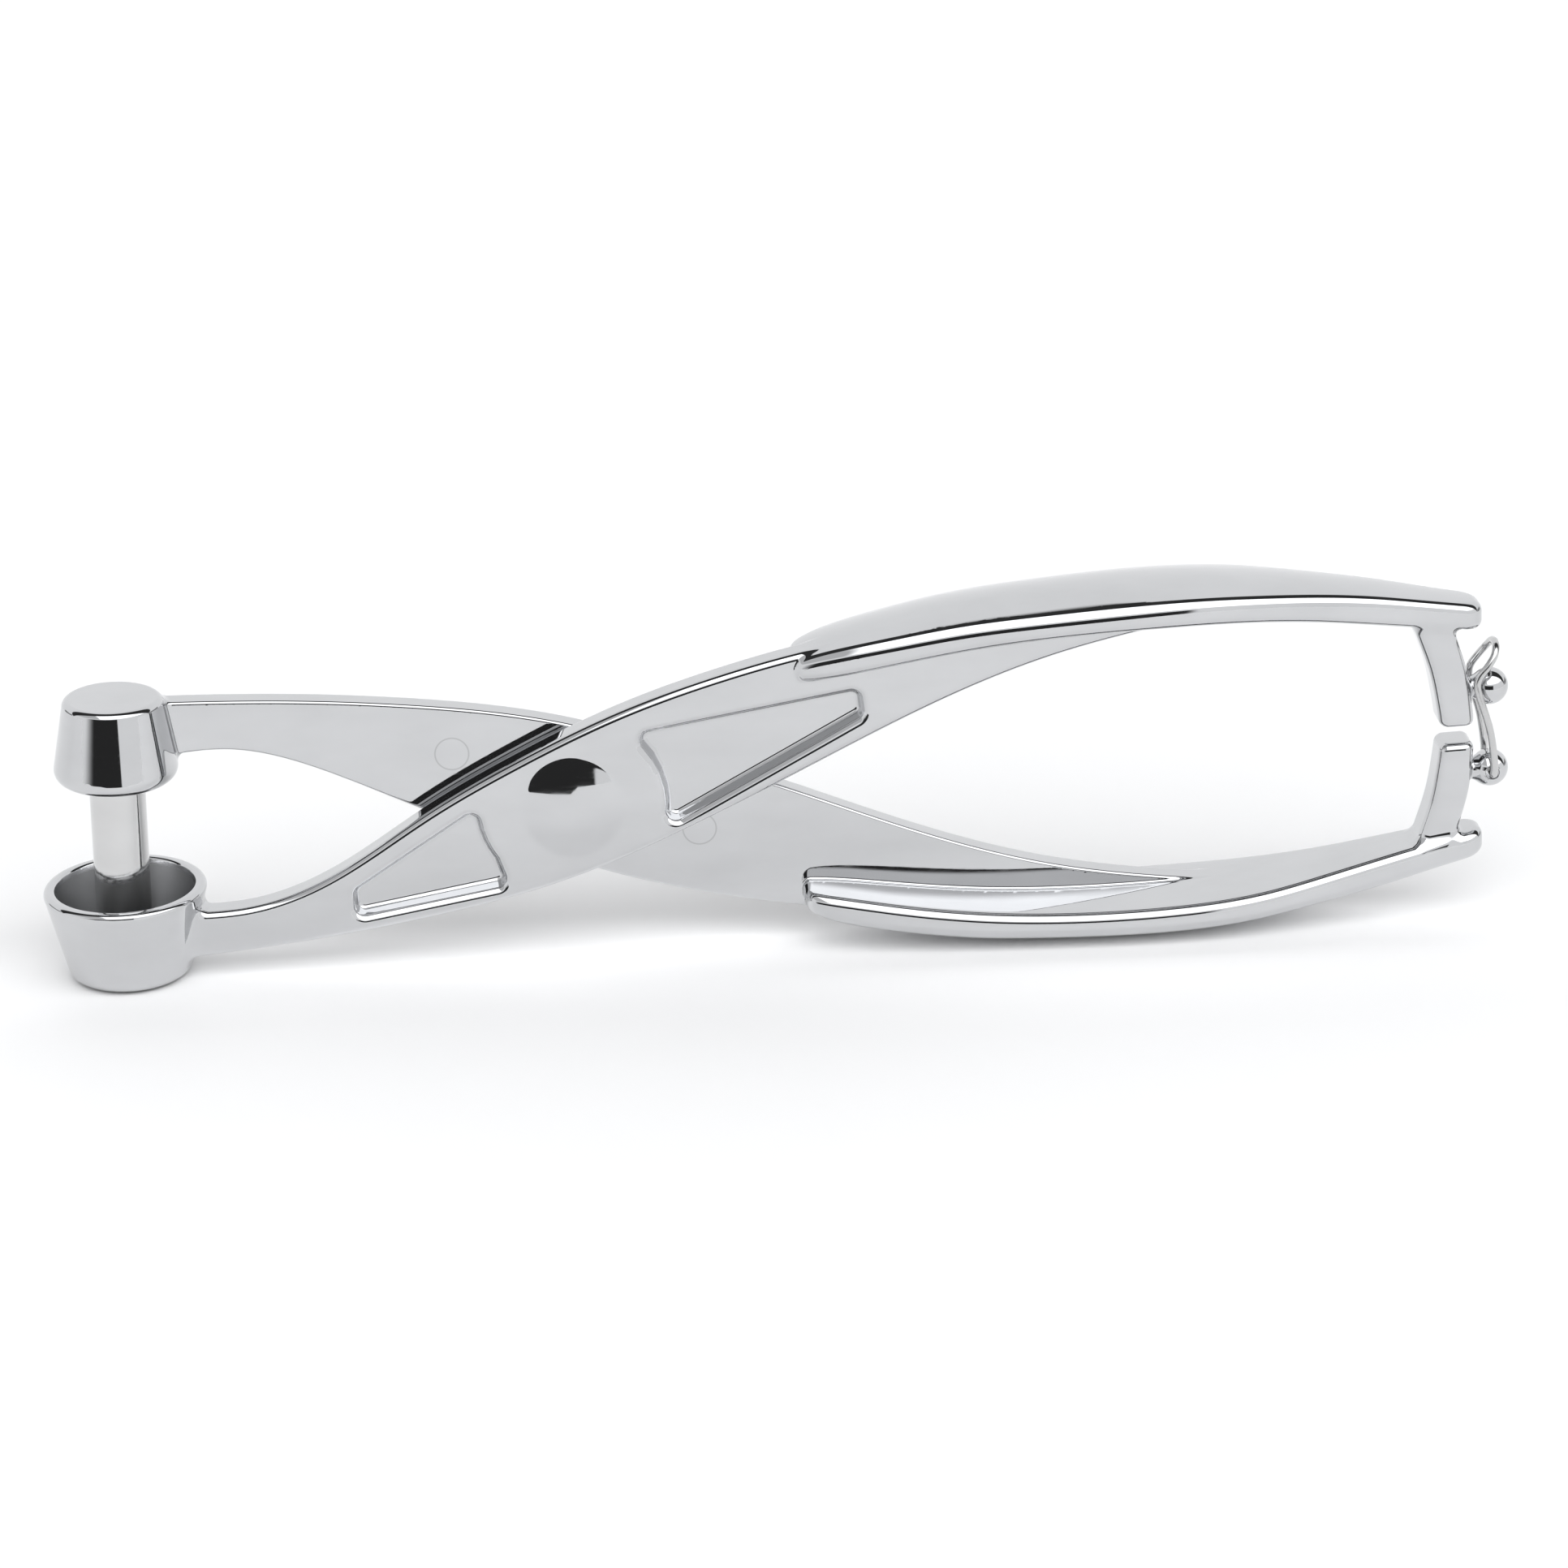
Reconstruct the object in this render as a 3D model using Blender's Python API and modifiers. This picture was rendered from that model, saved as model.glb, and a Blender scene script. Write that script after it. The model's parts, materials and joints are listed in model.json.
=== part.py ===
"""Cherry pitter: two crossed cast levers on one pivot, shown closed and held by its wire keeper.

The cup lever (front_arm) carries the cup, the upper handle and a plain knob. The punch lever
(rear_arm) carries the punch head, the lower handle and a drilled knob, in which the wire keeper
hangs. The levers have the same outline but for the neck, one turned over about the tool's long axis.

Two frames are used. The tool frame has the pivot at its origin, X along the tool towards the
handles, Y from front to back and Z up across the tool. It is tilted a little about Y, so that the
cup's flat base and the lower handle both rest on Z = 0. All numbers below are millimetres and
degrees in the tool frame, and MM turns them into metres.
"""

import math

import bmesh
import bpy
from mathutils import Matrix, Vector

MM = 0.001

# Where the tool frame stands
TILT = 2.08                       # the tool's long axis rises this much towards the handles
PIVOT_X = -28.3                   # puts the origin under the middle of the whole tool
PIVOT_Z = 22.96                   # height of the pivot with the tool lying on cup and handle

# Levers, from front (-Y) to back (+Y)
FRONT_ARM = (-4.1, 0.3)
REAR_ARM = (0.75, 3.95)
EDGE = 0.5                        # rounding of a lever's long edges

# Outline of the lever whose handle is the upper one, cup end first. The rear lever's is turned over.
FRONT_NECK = [(-54, -11.2), (-45, -11.1), (-33, -7.2), (-20, 0.5)]
REAR_NECK = [(-54, -10.3), (-46, -10.4), (-33, -6.0), (-20, 0.9)]
OUTER_SIDE = [(-8, 6.7), (6, 12.7), (20, 17.0), (34, 20.0), (60, 22.0), (90, 22.4)]
INNER_SIDE = [(90, 20.6), (77, 18.6), (66, 16.2), (49, 10.3), (29.4, 1.5), (14, -5.2), (0, -10.4), (-20, -14.7),
              (-38, -16.9), (-54, -18.0)]

# Handle flange: stations along X with the value there
FLANGE_X = (30.8, 125.7)
HALF_WIDTH = [(30.8, 3.2), (31.6, 4.2), (33.4, 5.2), (38, 6.4), (44, 7.2), (54, 7.9), (64, 8.3), (78, 8.5),
              (86, 8.2), (94, 7.4), (103, 5.9), (112, 4.7), (118, 4.0), (122, 3.5), (124.2, 2.8), (125.3, 1.8),
              (125.7, 0.9)]
EDGE_TOP = [(30.8, 17.4), (31.9, 18.5), (34, 19.3), (38, 20.2), (44, 21.2), (54, 22.6), (64, 23.3), (78, 23.8),
            (90, 23.7), (103, 22.4), (112, 21.0), (118, 19.8), (123, 18.7), (125.2, 18.0), (125.7, 17.2)]
EDGE_FOOT = [(30.8, 15.6), (33, 15.8), (44, 17.6), (56, 19.4), (66, 20.2), (80, 20.5), (94, 19.9), (106, 18.1),
             (118, 15.9), (123, 15.1), (125.7, 15.5)]
CROWN = [(30.8, 0.4), (38, 1.1), (44, 1.5), (54, 1.8), (64, 1.9), (78, 1.9), (90, 1.3), (103, 0.8), (115, 0.4),
         (125.7, 0.1)]
RIDGE_SLOPE = 0.045               # how far the flange's inner face falls from its edge to the middle

# Stop posts and knobs at the handles' ends
END_DROP = 0.4                    # the posts and knobs mirror about a line this far below the axis
POST_LEFT = [(119.6, 1.25), (119.1, 5), (118.1, 10), (116.8, 14), (115.8, 17)]
POST_RIGHT = [(121.4, 17), (122.4, 13), (123.5, 9), (124.1, 5), (124.4, 1.25)]
POST_HALF_DEPTH = 3.0
KNOB = (126.9, 6.05)
KNOB_RADIUS = 2.6
NECK_RADIUS = 1.5
KNOB_HOLE_RADIUS = 0.95

# Cup, on an upright axis; heights are from its base
CUP_AXIS = (-62.6, -20.7)         # centre of the cup's base
CUP_HEIGHT = 13.0
CUP_RIM_RADIUS = 11.35
CUP_BASE_RADIUS = 8.3
CUP_WALL = 1.7
CUP_FLOOR = 2.0
CUP_HOLE_RADIUS = 5.25

# Punch head and rod; the rear lever stands SLACK degrees short of fully closed
SLACK = 1.4
HEAD_FOOT = 27.2                  # heights above the cup's base, with the tool fully closed
HEAD_HEIGHT = 11.7
HEAD_TOP_RADIUS = 6.7
HEAD_FOOT_RADIUS = 8.75
PUNCH_RADIUS = 3.8
PUNCH_TIP = -0.7
PUNCH_SEAT = 4.0                  # how deep the rod sits in the head
PUNCH_DISH = 0.9

# Pivot
DOME_RADIUS = 7.0
DOME_HEIGHT = 0.95
POCKET_DEPTH = 2.2
POCKET_ARC = 12.6                 # both pockets end on this circle round the pivot
WELL_RADIUS = 6.0
FRONT_WELL = 2.2
REAR_WELL = 1.6
BOSS_RADIUS = 3.2
SHOULDER_RADIUS = 2.5
THREAD_RADIUS = 1.9
THREAD_END = -2.3
SCREW_HEAD_RADIUS = 4.6
SCREW_HEAD = 2.0
CLEARANCE = 0.15
THRUST_WASHER = (6.5, 8.3, 0.3)   # inner radius, outer radius, thickness
SPRING_WASHER = (2.8, 4.7, 0.5)
SPRING_MEAN_RADIUS = 4.3
SPRING_WIRE_RADIUS = 0.5
SPRING_TURNS = 2.25
SPRING_SPAN = (-1.1, 1.6)
SPRING_BEND = 1.0                 # radius of the bend into each leg
SPRING_HOLE_RADIUS = 0.75

# Keeper: one strand from the knob's hole to the top of the loop, as (x, z, half spacing)
WIRE_RADIUS = 0.52
STRAND = [(126.9, -6.45, 3.35), (126.95, -5.0, 3.4), (126.75, -2.6, 3.4), (126.3, 0.4, 3.4), (125.55, 3.2, 3.3),
          (124.85, 5.6, 3.05), (124.7, 6.9, 2.9), (125.05, 8.1, 2.85), (126.15, 9.5, 2.85), (127.1, 10.8, 2.4),
          (127.55, 11.8, 1.35), (127.65, 12.1, 0.0)]


def clear_scene():
    for obj in list(bpy.data.objects):
        bpy.data.objects.remove(obj)


def make_collection(name):
    collection = bpy.data.collections.new(name)
    bpy.context.scene.collection.children.link(collection)
    return collection


def make_material(name, colour, roughness, metallic=1.0):
    material = bpy.data.materials.new(name)
    material.use_nodes = True
    shader = material.node_tree.nodes["Principled BSDF"]
    shader.inputs["Base Color"].default_value = (*colour, 1.0)
    shader.inputs["Roughness"].default_value = roughness
    shader.inputs["Metallic"].default_value = metallic
    return material


def add_object(name, mesh):
    """A new object in the tool frame."""
    obj = bpy.data.objects.new(name, mesh)
    cutters.objects.link(obj)
    obj.hide_render = True
    obj.display_type = "WIRE"
    obj.parent = tool
    return obj


def mesh_object(name, shape):
    """An object from a bmesh drawn in millimetres."""
    bmesh.ops.scale(shape, vec=(MM, MM, MM), verts=shape.verts)
    bmesh.ops.recalc_face_normals(shape, faces=shape.faces)
    mesh = bpy.data.meshes.new(name)
    shape.to_mesh(mesh)
    shape.free()
    return add_object(name, mesh)


def finish(obj, material):
    """Turns a built shape into one of the tool's pieces."""
    cutters.objects.unlink(obj)
    pieces.objects.link(obj)
    obj.hide_render = False
    obj.display_type = "TEXTURED"
    obj.data.materials.clear()
    obj.data.materials.append(material)
    obj.data.shade_smooth()
    obj.data.set_sharp_from_angle(angle=math.radians(35))


def boolean(target, other, operation):
    modifier = target.modifiers.new(other.name, "BOOLEAN")
    modifier.operation = operation
    modifier.solver = "EXACT"
    modifier.object = other


def join(target, *others):
    for other in others:
        boolean(target, other, "UNION")


def cut(target, *others):
    for other in others:
        boolean(target, other, "DIFFERENCE")


def smooth_line(points, per_span=4):
    """Points on a Catmull-Rom curve through the given ones."""
    ends = [[2 * a - b for a, b in zip(points[i], points[j])] for i, j in ((0, 1), (-1, -2))]
    knots = [Vector(p) for p in (ends[0], *points, ends[1])]
    line = []
    for a, b, c, d in zip(knots, knots[1:], knots[2:], knots[3:]):
        for step in range(per_span):
            t = step / per_span
            line.append(0.5 * (2 * b + (c - a) * t + (2 * a - 5 * b + 4 * c - d) * t ** 2
                               + (3 * b - a - 3 * c + d) * t ** 3))
    return [tuple(p) for p in (*line, knots[-2])]


def value_at(table, x):
    """Value at x on the smooth curve through a table of (x, value)."""
    line = smooth_line(table, 8)
    for (x0, v0), (x1, v1) in zip(line, line[1:]):
        if x <= x1:
            return v0 + (v1 - v0) * max(0.0, x - x0) / (x1 - x0)
    return line[-1][1]


def rounded_outline(corners, radius, steps=3):
    """A closed outline whose corners are arcs of about the given radius."""
    outline = []
    for i, corner in enumerate(corners):
        here = Vector(corner)
        into = (Vector(corners[i - 1]) - here).normalized() * radius
        out = (Vector(corners[(i + 1) % len(corners)]) - here).normalized() * radius
        for step in range(steps + 1):
            t = step / steps
            outline.append(tuple(here + into * (1 - t) ** 2 + out * t ** 2))
    return outline


def plate(name, outline, front, back, rim=0.0):
    """A flat plate of the given XZ outline between two Y planes, with edges rounded by rim."""
    curve = bpy.data.curves.new(name, "CURVE")
    curve.dimensions = "2D"
    curve.fill_mode = "BOTH"
    curve.extrude = ((back - front) / 2 - rim) * MM
    curve.bevel_depth = rim * MM
    curve.bevel_resolution = 1
    curve.offset = -rim * MM
    spline = curve.splines.new("POLY")
    spline.points.add(len(outline) - 1)
    for point, (x, z) in zip(spline.points, outline):
        point.co = (x * MM, z * MM, 0.0, 1.0)
    spline.use_cyclic_u = True
    flat = bpy.data.objects.new(name, curve)
    bpy.context.scene.collection.objects.link(flat)
    bpy.context.view_layer.update()
    mesh = bpy.data.meshes.new_from_object(flat.evaluated_get(bpy.context.evaluated_depsgraph_get()))
    bpy.data.objects.remove(flat)
    shape = bmesh.new()
    shape.from_mesh(mesh)
    bmesh.ops.remove_doubles(shape, verts=shape.verts, dist=1e-6)
    turn = Matrix.Translation((0, (front + back) / 2 * MM, 0)) @ Matrix.Rotation(math.pi / 2, 4, "X")
    bmesh.ops.transform(shape, matrix=turn, verts=shape.verts)
    bmesh.ops.recalc_face_normals(shape, faces=shape.faces)
    shape.to_mesh(mesh)
    shape.free()
    return add_object(name, mesh)


def loft(name, rings):
    """A solid skinned over rings that all have the same number of points."""
    shape = bmesh.new()
    loops = [[shape.verts.new(p) for p in ring] for ring in rings]
    count = len(loops[0])
    for near, far in zip(loops, loops[1:]):
        for i in range(count):
            j = (i + 1) % count
            shape.faces.new((near[i], near[j], far[j], far[i]))
    shape.faces.new(loops[0])
    shape.faces.new(loops[-1])
    return mesh_object(name, shape)


def cylinder(name, radius, front, back, centre=(0, 0), sides=40):
    """A cylinder along Y round a centre in the XZ plane."""
    shape = bmesh.new()
    place = Matrix.Translation((centre[0], (front + back) / 2, centre[1])) @ Matrix.Rotation(math.pi / 2, 4, "X")
    bmesh.ops.create_cone(shape, cap_ends=True, segments=sides, radius1=radius, radius2=radius,
                          depth=back - front, matrix=place)
    return mesh_object(name, shape)


def ball(name, radius, centre, segments=24):
    shape = bmesh.new()
    bmesh.ops.create_uvsphere(shape, u_segments=segments, v_segments=segments // 2, radius=radius,
                              matrix=Matrix.Translation(centre))
    return mesh_object(name, shape)


def turned(name, profile, place, steps=56):
    """A solid turned about an upright axis; the profile is (radius, height) from top to bottom."""
    shape = bmesh.new()
    verts = [shape.verts.new((r * MM, 0, z * MM)) for r, z in profile]
    for a, b in zip(verts, verts[1:]):
        shape.edges.new((a, b))
    mesh = bpy.data.meshes.new(name)
    shape.to_mesh(mesh)
    shape.free()
    obj = add_object(name, mesh)
    obj.matrix_local = place
    screw = obj.modifiers.new("turn", "SCREW")
    screw.steps = steps
    screw.render_steps = steps
    screw.use_merge_vertices = True
    screw.merge_threshold = 0.00001
    return obj


def cup_place():
    """Frame on the cup's base, upright when the tool lies at rest."""
    x, z = CUP_AXIS
    return Matrix.Translation((x * MM, 0, z * MM)) @ Matrix.Rotation(math.radians(TILT), 4, "Y")


def punch_place():
    """The same frame carried round the pivot with the rear lever, to where that lever rests."""
    return Matrix.Rotation(math.radians(SLACK), 4, "Y") @ cup_place()


def lever_outline(neck, side):
    return [(x, side * z) for x, z in smooth_line(neck + OUTER_SIDE) + smooth_line(INNER_SIDE)]


def flange_ring(x, side):
    """Section of the handle flange: crowned outer face, upright edges, inner face with a low ridge."""
    half, top, foot, crown = (value_at(t, x) for t in (HALF_WIDTH, EDGE_TOP, EDGE_FOOT, CROWN))
    corner = min(0.5, 0.4 * half)
    outer = [(-1 + k / 3, crown * (1 - (-1 + k / 3) ** 2)) for k in range(7)]
    ring = [(-half, top - corner)]
    ring += [(u * (half - corner), top + rise) for u, rise in outer]
    ring += [(half, top - corner), (half, foot + corner), (half - corner, foot)]
    ring += [(0.0, foot - RIDGE_SLOPE * half), (corner - half, foot), (-half, foot + corner)]
    return [(x, y, side * z) for y, z in ring]


def flange(name, side):
    start, end = FLANGE_X
    bends = [x for x, _ in HALF_WIDTH]
    stations = sorted({*bends, *(start + (end - start) * k / 16 for k in range(1, 16))})
    stations = [x for x, y in zip(stations, stations[1:]) if y - x > 0.45] + [end]
    return loft(name, [flange_ring(x, side) for x in stations])


def knob_centre(side):
    return KNOB[0], side * KNOB[1] - END_DROP


def handle_end(label, lever, side):
    """Adds the stop post and its knob, on a short neck, to a lever."""
    outline = [(x, side * z - END_DROP) for x, z in smooth_line(POST_LEFT, 3) + smooth_line(POST_RIGHT, 3)]
    post = plate(label + "_post", outline, -POST_HALF_DEPTH, POST_HALF_DEPTH, 0.6)
    x, z = knob_centre(side)
    knob = ball(label + "_knob", KNOB_RADIUS, (x, 0, z))
    shape = bmesh.new()
    place = Matrix.Translation((x - 2.2, 0, z)) @ Matrix.Rotation(math.pi / 2, 4, "Y")
    bmesh.ops.create_cone(shape, cap_ends=True, segments=20, radius1=NECK_RADIUS + 0.3, radius2=NECK_RADIUS,
                          depth=3.4, matrix=place)
    join(lever, post, mesh_object(label + "_neck", shape), knob)


def cup_outer():
    slope = (CUP_RIM_RADIUS - CUP_BASE_RADIUS) / CUP_HEIGHT
    return [(0, CUP_HEIGHT), (CUP_RIM_RADIUS - 0.4, CUP_HEIGHT), (CUP_RIM_RADIUS, CUP_HEIGHT - 0.4),
            (CUP_BASE_RADIUS + 1.4 * slope, 1.4), (CUP_BASE_RADIUS - 0.3, 0.5), (CUP_BASE_RADIUS - 1.1, 0), (0, 0)]


def cup_inner():
    slope = (CUP_RIM_RADIUS - CUP_BASE_RADIUS) / CUP_HEIGHT
    rim = CUP_RIM_RADIUS - CUP_WALL
    low = rim - slope * (CUP_HEIGHT - CUP_FLOOR - 1.2)
    return [(0, CUP_HEIGHT + 1), (rim + slope, CUP_HEIGHT + 1), (low, CUP_FLOOR + 1.2), (low - 1.0, CUP_FLOOR),
            (CUP_HOLE_RADIUS, CUP_FLOOR), (CUP_HOLE_RADIUS, -1), (0, -1)]


def head_profile():
    top, foot = HEAD_FOOT + HEAD_HEIGHT, HEAD_FOOT
    return [(0, top), (HEAD_TOP_RADIUS - 0.9, top), (HEAD_TOP_RADIUS - 0.2, top - 0.3), (HEAD_TOP_RADIUS + 0.3, top - 1),
            (HEAD_FOOT_RADIUS, foot + 1.9), (HEAD_FOOT_RADIUS - 0.2, foot + 0.9), (HEAD_FOOT_RADIUS - 1.2, foot),
            (0, foot)]


def pocket_left():
    """Three-cornered pocket between the cup and the pivot."""
    arc = [(POCKET_ARC * math.cos(math.radians(a)), POCKET_ARC * math.sin(math.radians(a))) for a in (181, 196, 211)]
    corners = [*arc, (-8.8, -11.0), (-31.4, -14.0), (-31.2, -9.7)]
    return rounded_outline(corners, 1.3)


def pocket_right():
    """Four-cornered pocket between the pivot and the handle."""
    arc = [(POCKET_ARC * math.cos(math.radians(a)), POCKET_ARC * math.sin(math.radians(a))) for a in (42, 24, 6, -12)]
    corners = [*arc, (40.8, 9.3), (40.4, 14.0)]
    return rounded_outline(corners, 1.3)


def dome():
    """Shallow cap on the front face over the pivot, with a foot sunk into the lever."""
    radius = (DOME_RADIUS ** 2 + DOME_HEIGHT ** 2) / (2 * DOME_HEIGHT)
    widest = math.asin(DOME_RADIUS / radius)
    cap = [(radius * math.sin(widest * k / 6), radius * math.cos(widest * k / 6) - radius + DOME_HEIGHT)
           for k in range(7)]
    sunk = 0.05
    place = Matrix.Translation((0, (FRONT_ARM[0] + sunk) * MM, 0)) @ Matrix.Rotation(math.pi / 2, 4, "X")
    return turned("dome", [*cap, (DOME_RADIUS - 0.2, -0.5), (0, -0.5)], place)


def spring_anchor(angle):
    """Where a spring leg enters its lever, as a point in the XZ plane."""
    return (SPRING_MEAN_RADIUS * math.cos(angle), SPRING_MEAN_RADIUS * math.sin(angle))


def front_arm():
    front, back = FRONT_ARM
    lever = plate("front_arm", lever_outline(FRONT_NECK, 1), front, back, EDGE)
    join(lever, flange("upper_flange", 1))
    handle_end("upper", lever, 1)
    join(lever, turned("cup_body", cup_outer(), cup_place()), dome())
    well = cylinder("front_well", WELL_RADIUS, back - FRONT_WELL, back + 1)
    cut(lever, turned("cup_space", cup_inner(), cup_place()), well,
        plate("left_pocket", pocket_left(), front - 1, front + POCKET_DEPTH),
        plate("right_pocket", pocket_right(), front - 1, front + POCKET_DEPTH))
    join(lever, cylinder("boss", BOSS_RADIUS, back - FRONT_WELL - 0.3, REAR_ARM[0] + REAR_WELL - CLEARANCE))
    cut(lever, cylinder("thread_hole", THREAD_RADIUS + CLEARANCE, THREAD_END - CLEARANCE, 5, sides=24),
        cylinder("front_spring_hole", SPRING_HOLE_RADIUS, back - FRONT_WELL - 1.0, back, spring_anchor(0.0), 16))
    finish(lever, chrome)


def rear_arm():
    front, back = REAR_ARM
    lever = plate("rear_arm", lever_outline(REAR_NECK, -1), front, back, EDGE)
    join(lever, flange("lower_flange", -1))
    handle_end("lower", lever, -1)
    join(lever, turned("head_body", head_profile(), punch_place()))
    socket = [(0, HEAD_FOOT + PUNCH_SEAT + CLEARANCE), (PUNCH_RADIUS + CLEARANCE, HEAD_FOOT + PUNCH_SEAT + CLEARANCE),
              (PUNCH_RADIUS + CLEARANCE, HEAD_FOOT - 1), (0, HEAD_FOOT - 1)]
    cut(lever, turned("punch_socket", socket, punch_place(), 40),
        cylinder("rear_well", WELL_RADIUS, front - 1, front + REAR_WELL),
        cylinder("pivot_bore", SHOULDER_RADIUS + CLEARANCE, front, back + 1, sides=32),
        cylinder("rear_spring_hole", SPRING_HOLE_RADIUS, front, back + 1, spring_anchor(spring_end_angle()), 16),
        cylinder("keeper_hole", KNOB_HOLE_RADIUS, -4, 4, knob_centre(-1), 24))
    finish(lever, chrome)


def punch_rod():
    """Steel rod with a dished, sharp-rimmed tip."""
    top = HEAD_FOOT + PUNCH_SEAT
    tip = PUNCH_TIP + 2.0
    dish = [(PUNCH_RADIUS * 0.8 * k / 4, tip + PUNCH_DISH * (1 - (k / 4) ** 2)) for k in range(4, -1, -1)]
    profile = [(0, top), (PUNCH_RADIUS - 0.3, top), (PUNCH_RADIUS, top - 0.3), (PUNCH_RADIUS, tip), *dish]
    finish(turned("punch_rod", profile, punch_place(), 40), steel)


def pivot_screw():
    """Shoulder screw put in from behind; its thread ends in the front lever's boss."""
    seat = REAR_ARM[1] + SPRING_WASHER[2] + 2 * CLEARANCE
    shoulder_end = REAR_ARM[0] + REAR_WELL
    screw = cylinder("pivot_screw", SCREW_HEAD_RADIUS, seat, seat + SCREW_HEAD)
    bevel = screw.modifiers.new("edge", "BEVEL")
    bevel.width = 0.35 * MM
    bevel.limit_method = "ANGLE"
    join(screw, cylinder("shoulder", SHOULDER_RADIUS, shoulder_end, seat + 0.5, sides=32),
         cylinder("thread", THREAD_RADIUS, THREAD_END, shoulder_end + 0.5, sides=24))
    shape = bmesh.new()
    bmesh.ops.create_cube(shape, size=1.0, matrix=Matrix.Translation((0, seat + SCREW_HEAD, 0))
                          @ Matrix.Diagonal((2.5 * SCREW_HEAD_RADIUS, 2.0, 1.2, 1)))
    cut(screw, mesh_object("driver_slot", shape))
    finish(screw, steel)


def washer(name, sizes, front, material):
    inner, outer, thickness = sizes
    ring = cylinder(name, outer, front, front + thickness)
    cut(ring, cylinder(name + "_hole", inner, front - 1, front + thickness + 1, sides=32))
    finish(ring, material)


def spring_end_angle():
    return 2 * math.pi * SPRING_TURNS


def wire(name, points, radius, material, sides=2):
    """A round wire along points given in millimetres."""
    curve = bpy.data.curves.new(name, "CURVE")
    curve.dimensions = "3D"
    curve.bevel_depth = radius * MM
    curve.bevel_resolution = sides
    curve.use_fill_caps = True
    spline = curve.splines.new("POLY")
    spline.points.add(len(points) - 1)
    for point, place in zip(spline.points, points):
        point.co = (*(Vector(place) * MM), 1.0)
    obj = bpy.data.objects.new(name, curve)
    pieces.objects.link(obj)
    obj.parent = tool
    curve.materials.append(material)
    return obj


def spring_leg(angle, level, tip, way):
    """Straight leg along Y from its tip, then a quarter bend into the coil; way is the coil's sense."""
    x, z = spring_anchor(angle)
    outward = math.copysign(SPRING_BEND, tip - level)
    leg = [(x, tip, z)]
    for k in range(5):
        turn = math.pi / 2 * k / 4
        along = angle + way * SPRING_BEND * (1 - math.cos(turn)) / SPRING_MEAN_RADIUS
        x, z = spring_anchor(along)
        leg.append((x, level + outward * (1 - math.sin(turn)), z))
    return leg


def opening_spring():
    """Torsion spring in the wells between the levers; each end is bent straight into its lever."""
    low, high = SPRING_SPAN
    last = spring_end_angle()
    count = int(SPRING_TURNS * 14)
    coil = []
    for k in range(count + 1):
        angle = last * k / count
        if SPRING_BEND < angle * SPRING_MEAN_RADIUS < last * SPRING_MEAN_RADIUS - SPRING_BEND:
            x, z = spring_anchor(angle)
            coil.append((x, low + (high - low) * k / count, z))
    front_leg = spring_leg(0.0, low, FRONT_ARM[1] - FRONT_WELL - 0.7, 1)
    rear_leg = spring_leg(last, high, REAR_ARM[1] - 0.4, -1)
    wire("opening_spring", front_leg + coil + rear_leg[::-1], SPRING_WIRE_RADIUS, steel)


def keeper_loop():
    """Bent wire loop: both ends sit in the lower knob's hole, the top hooks over the upper knob."""
    strand = smooth_line(STRAND, 4)
    front = [(x, -half, z) for x, z, half in strand]
    rear = [(x, half, z) for x, z, half in reversed(strand[:-1])]
    x, z, half = STRAND[0]
    inside = 0.5
    corner = 0.4
    start = [(x, -inside, z), (x, -half + 1.4 * corner, z), (x, -half + 0.4 * corner, z + 0.4 * corner)]
    end = [(px, -py, pz) for px, py, pz in reversed(start)]
    wire("keeper_loop", start + front[1:] + rear[:-1] + end, WIRE_RADIUS, wire_steel)


clear_scene()
pieces = make_collection("cherry_pitter")
cutters = make_collection("cutters")
tool = bpy.data.objects.new("tool_frame", None)
bpy.context.scene.collection.objects.link(tool)
tool.location = (PIVOT_X * MM, 0, PIVOT_Z * MM)
tool.rotation_euler = (0, -math.radians(TILT), 0)

chrome = make_material("chrome_plate", (0.78, 0.79, 0.81), 0.06)
steel = make_material("bright_steel", (0.66, 0.66, 0.68), 0.18)
wire_steel = make_material("wire_steel", (0.62, 0.61, 0.58), 0.22)
nylon = make_material("washer_nylon", (0.82, 0.80, 0.74), 0.5, 0.0)

front_arm()
rear_arm()
punch_rod()
pivot_screw()
washer("thrust_washer", THRUST_WASHER, (FRONT_ARM[1] + REAR_ARM[0] - THRUST_WASHER[2]) / 2, nylon)
washer("spring_washer", SPRING_WASHER, REAR_ARM[1] + CLEARANCE, steel)
opening_spring()
keeper_loop()
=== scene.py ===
"""Looks of the cherry pitter: polished castings, steel punch and wire, on a pale floor in soft light.

The two castings are drawn as distance fields, so that every corner is rounded and every joint between
cup, arm, handle and post is filleted as in a casting, then turned into meshes. The punch, screw, washers,
spring and keeper are turned or swept meshes.

All numbers are millimetres and degrees in the tool frame of the CAD part: pivot at the origin, X towards
the handles, Y from front to back, Z up across the tool. MM turns them into metres.
"""

import json
import math

import bmesh
import bpy
import numpy as np
from mathutils import Matrix, Vector


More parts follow.
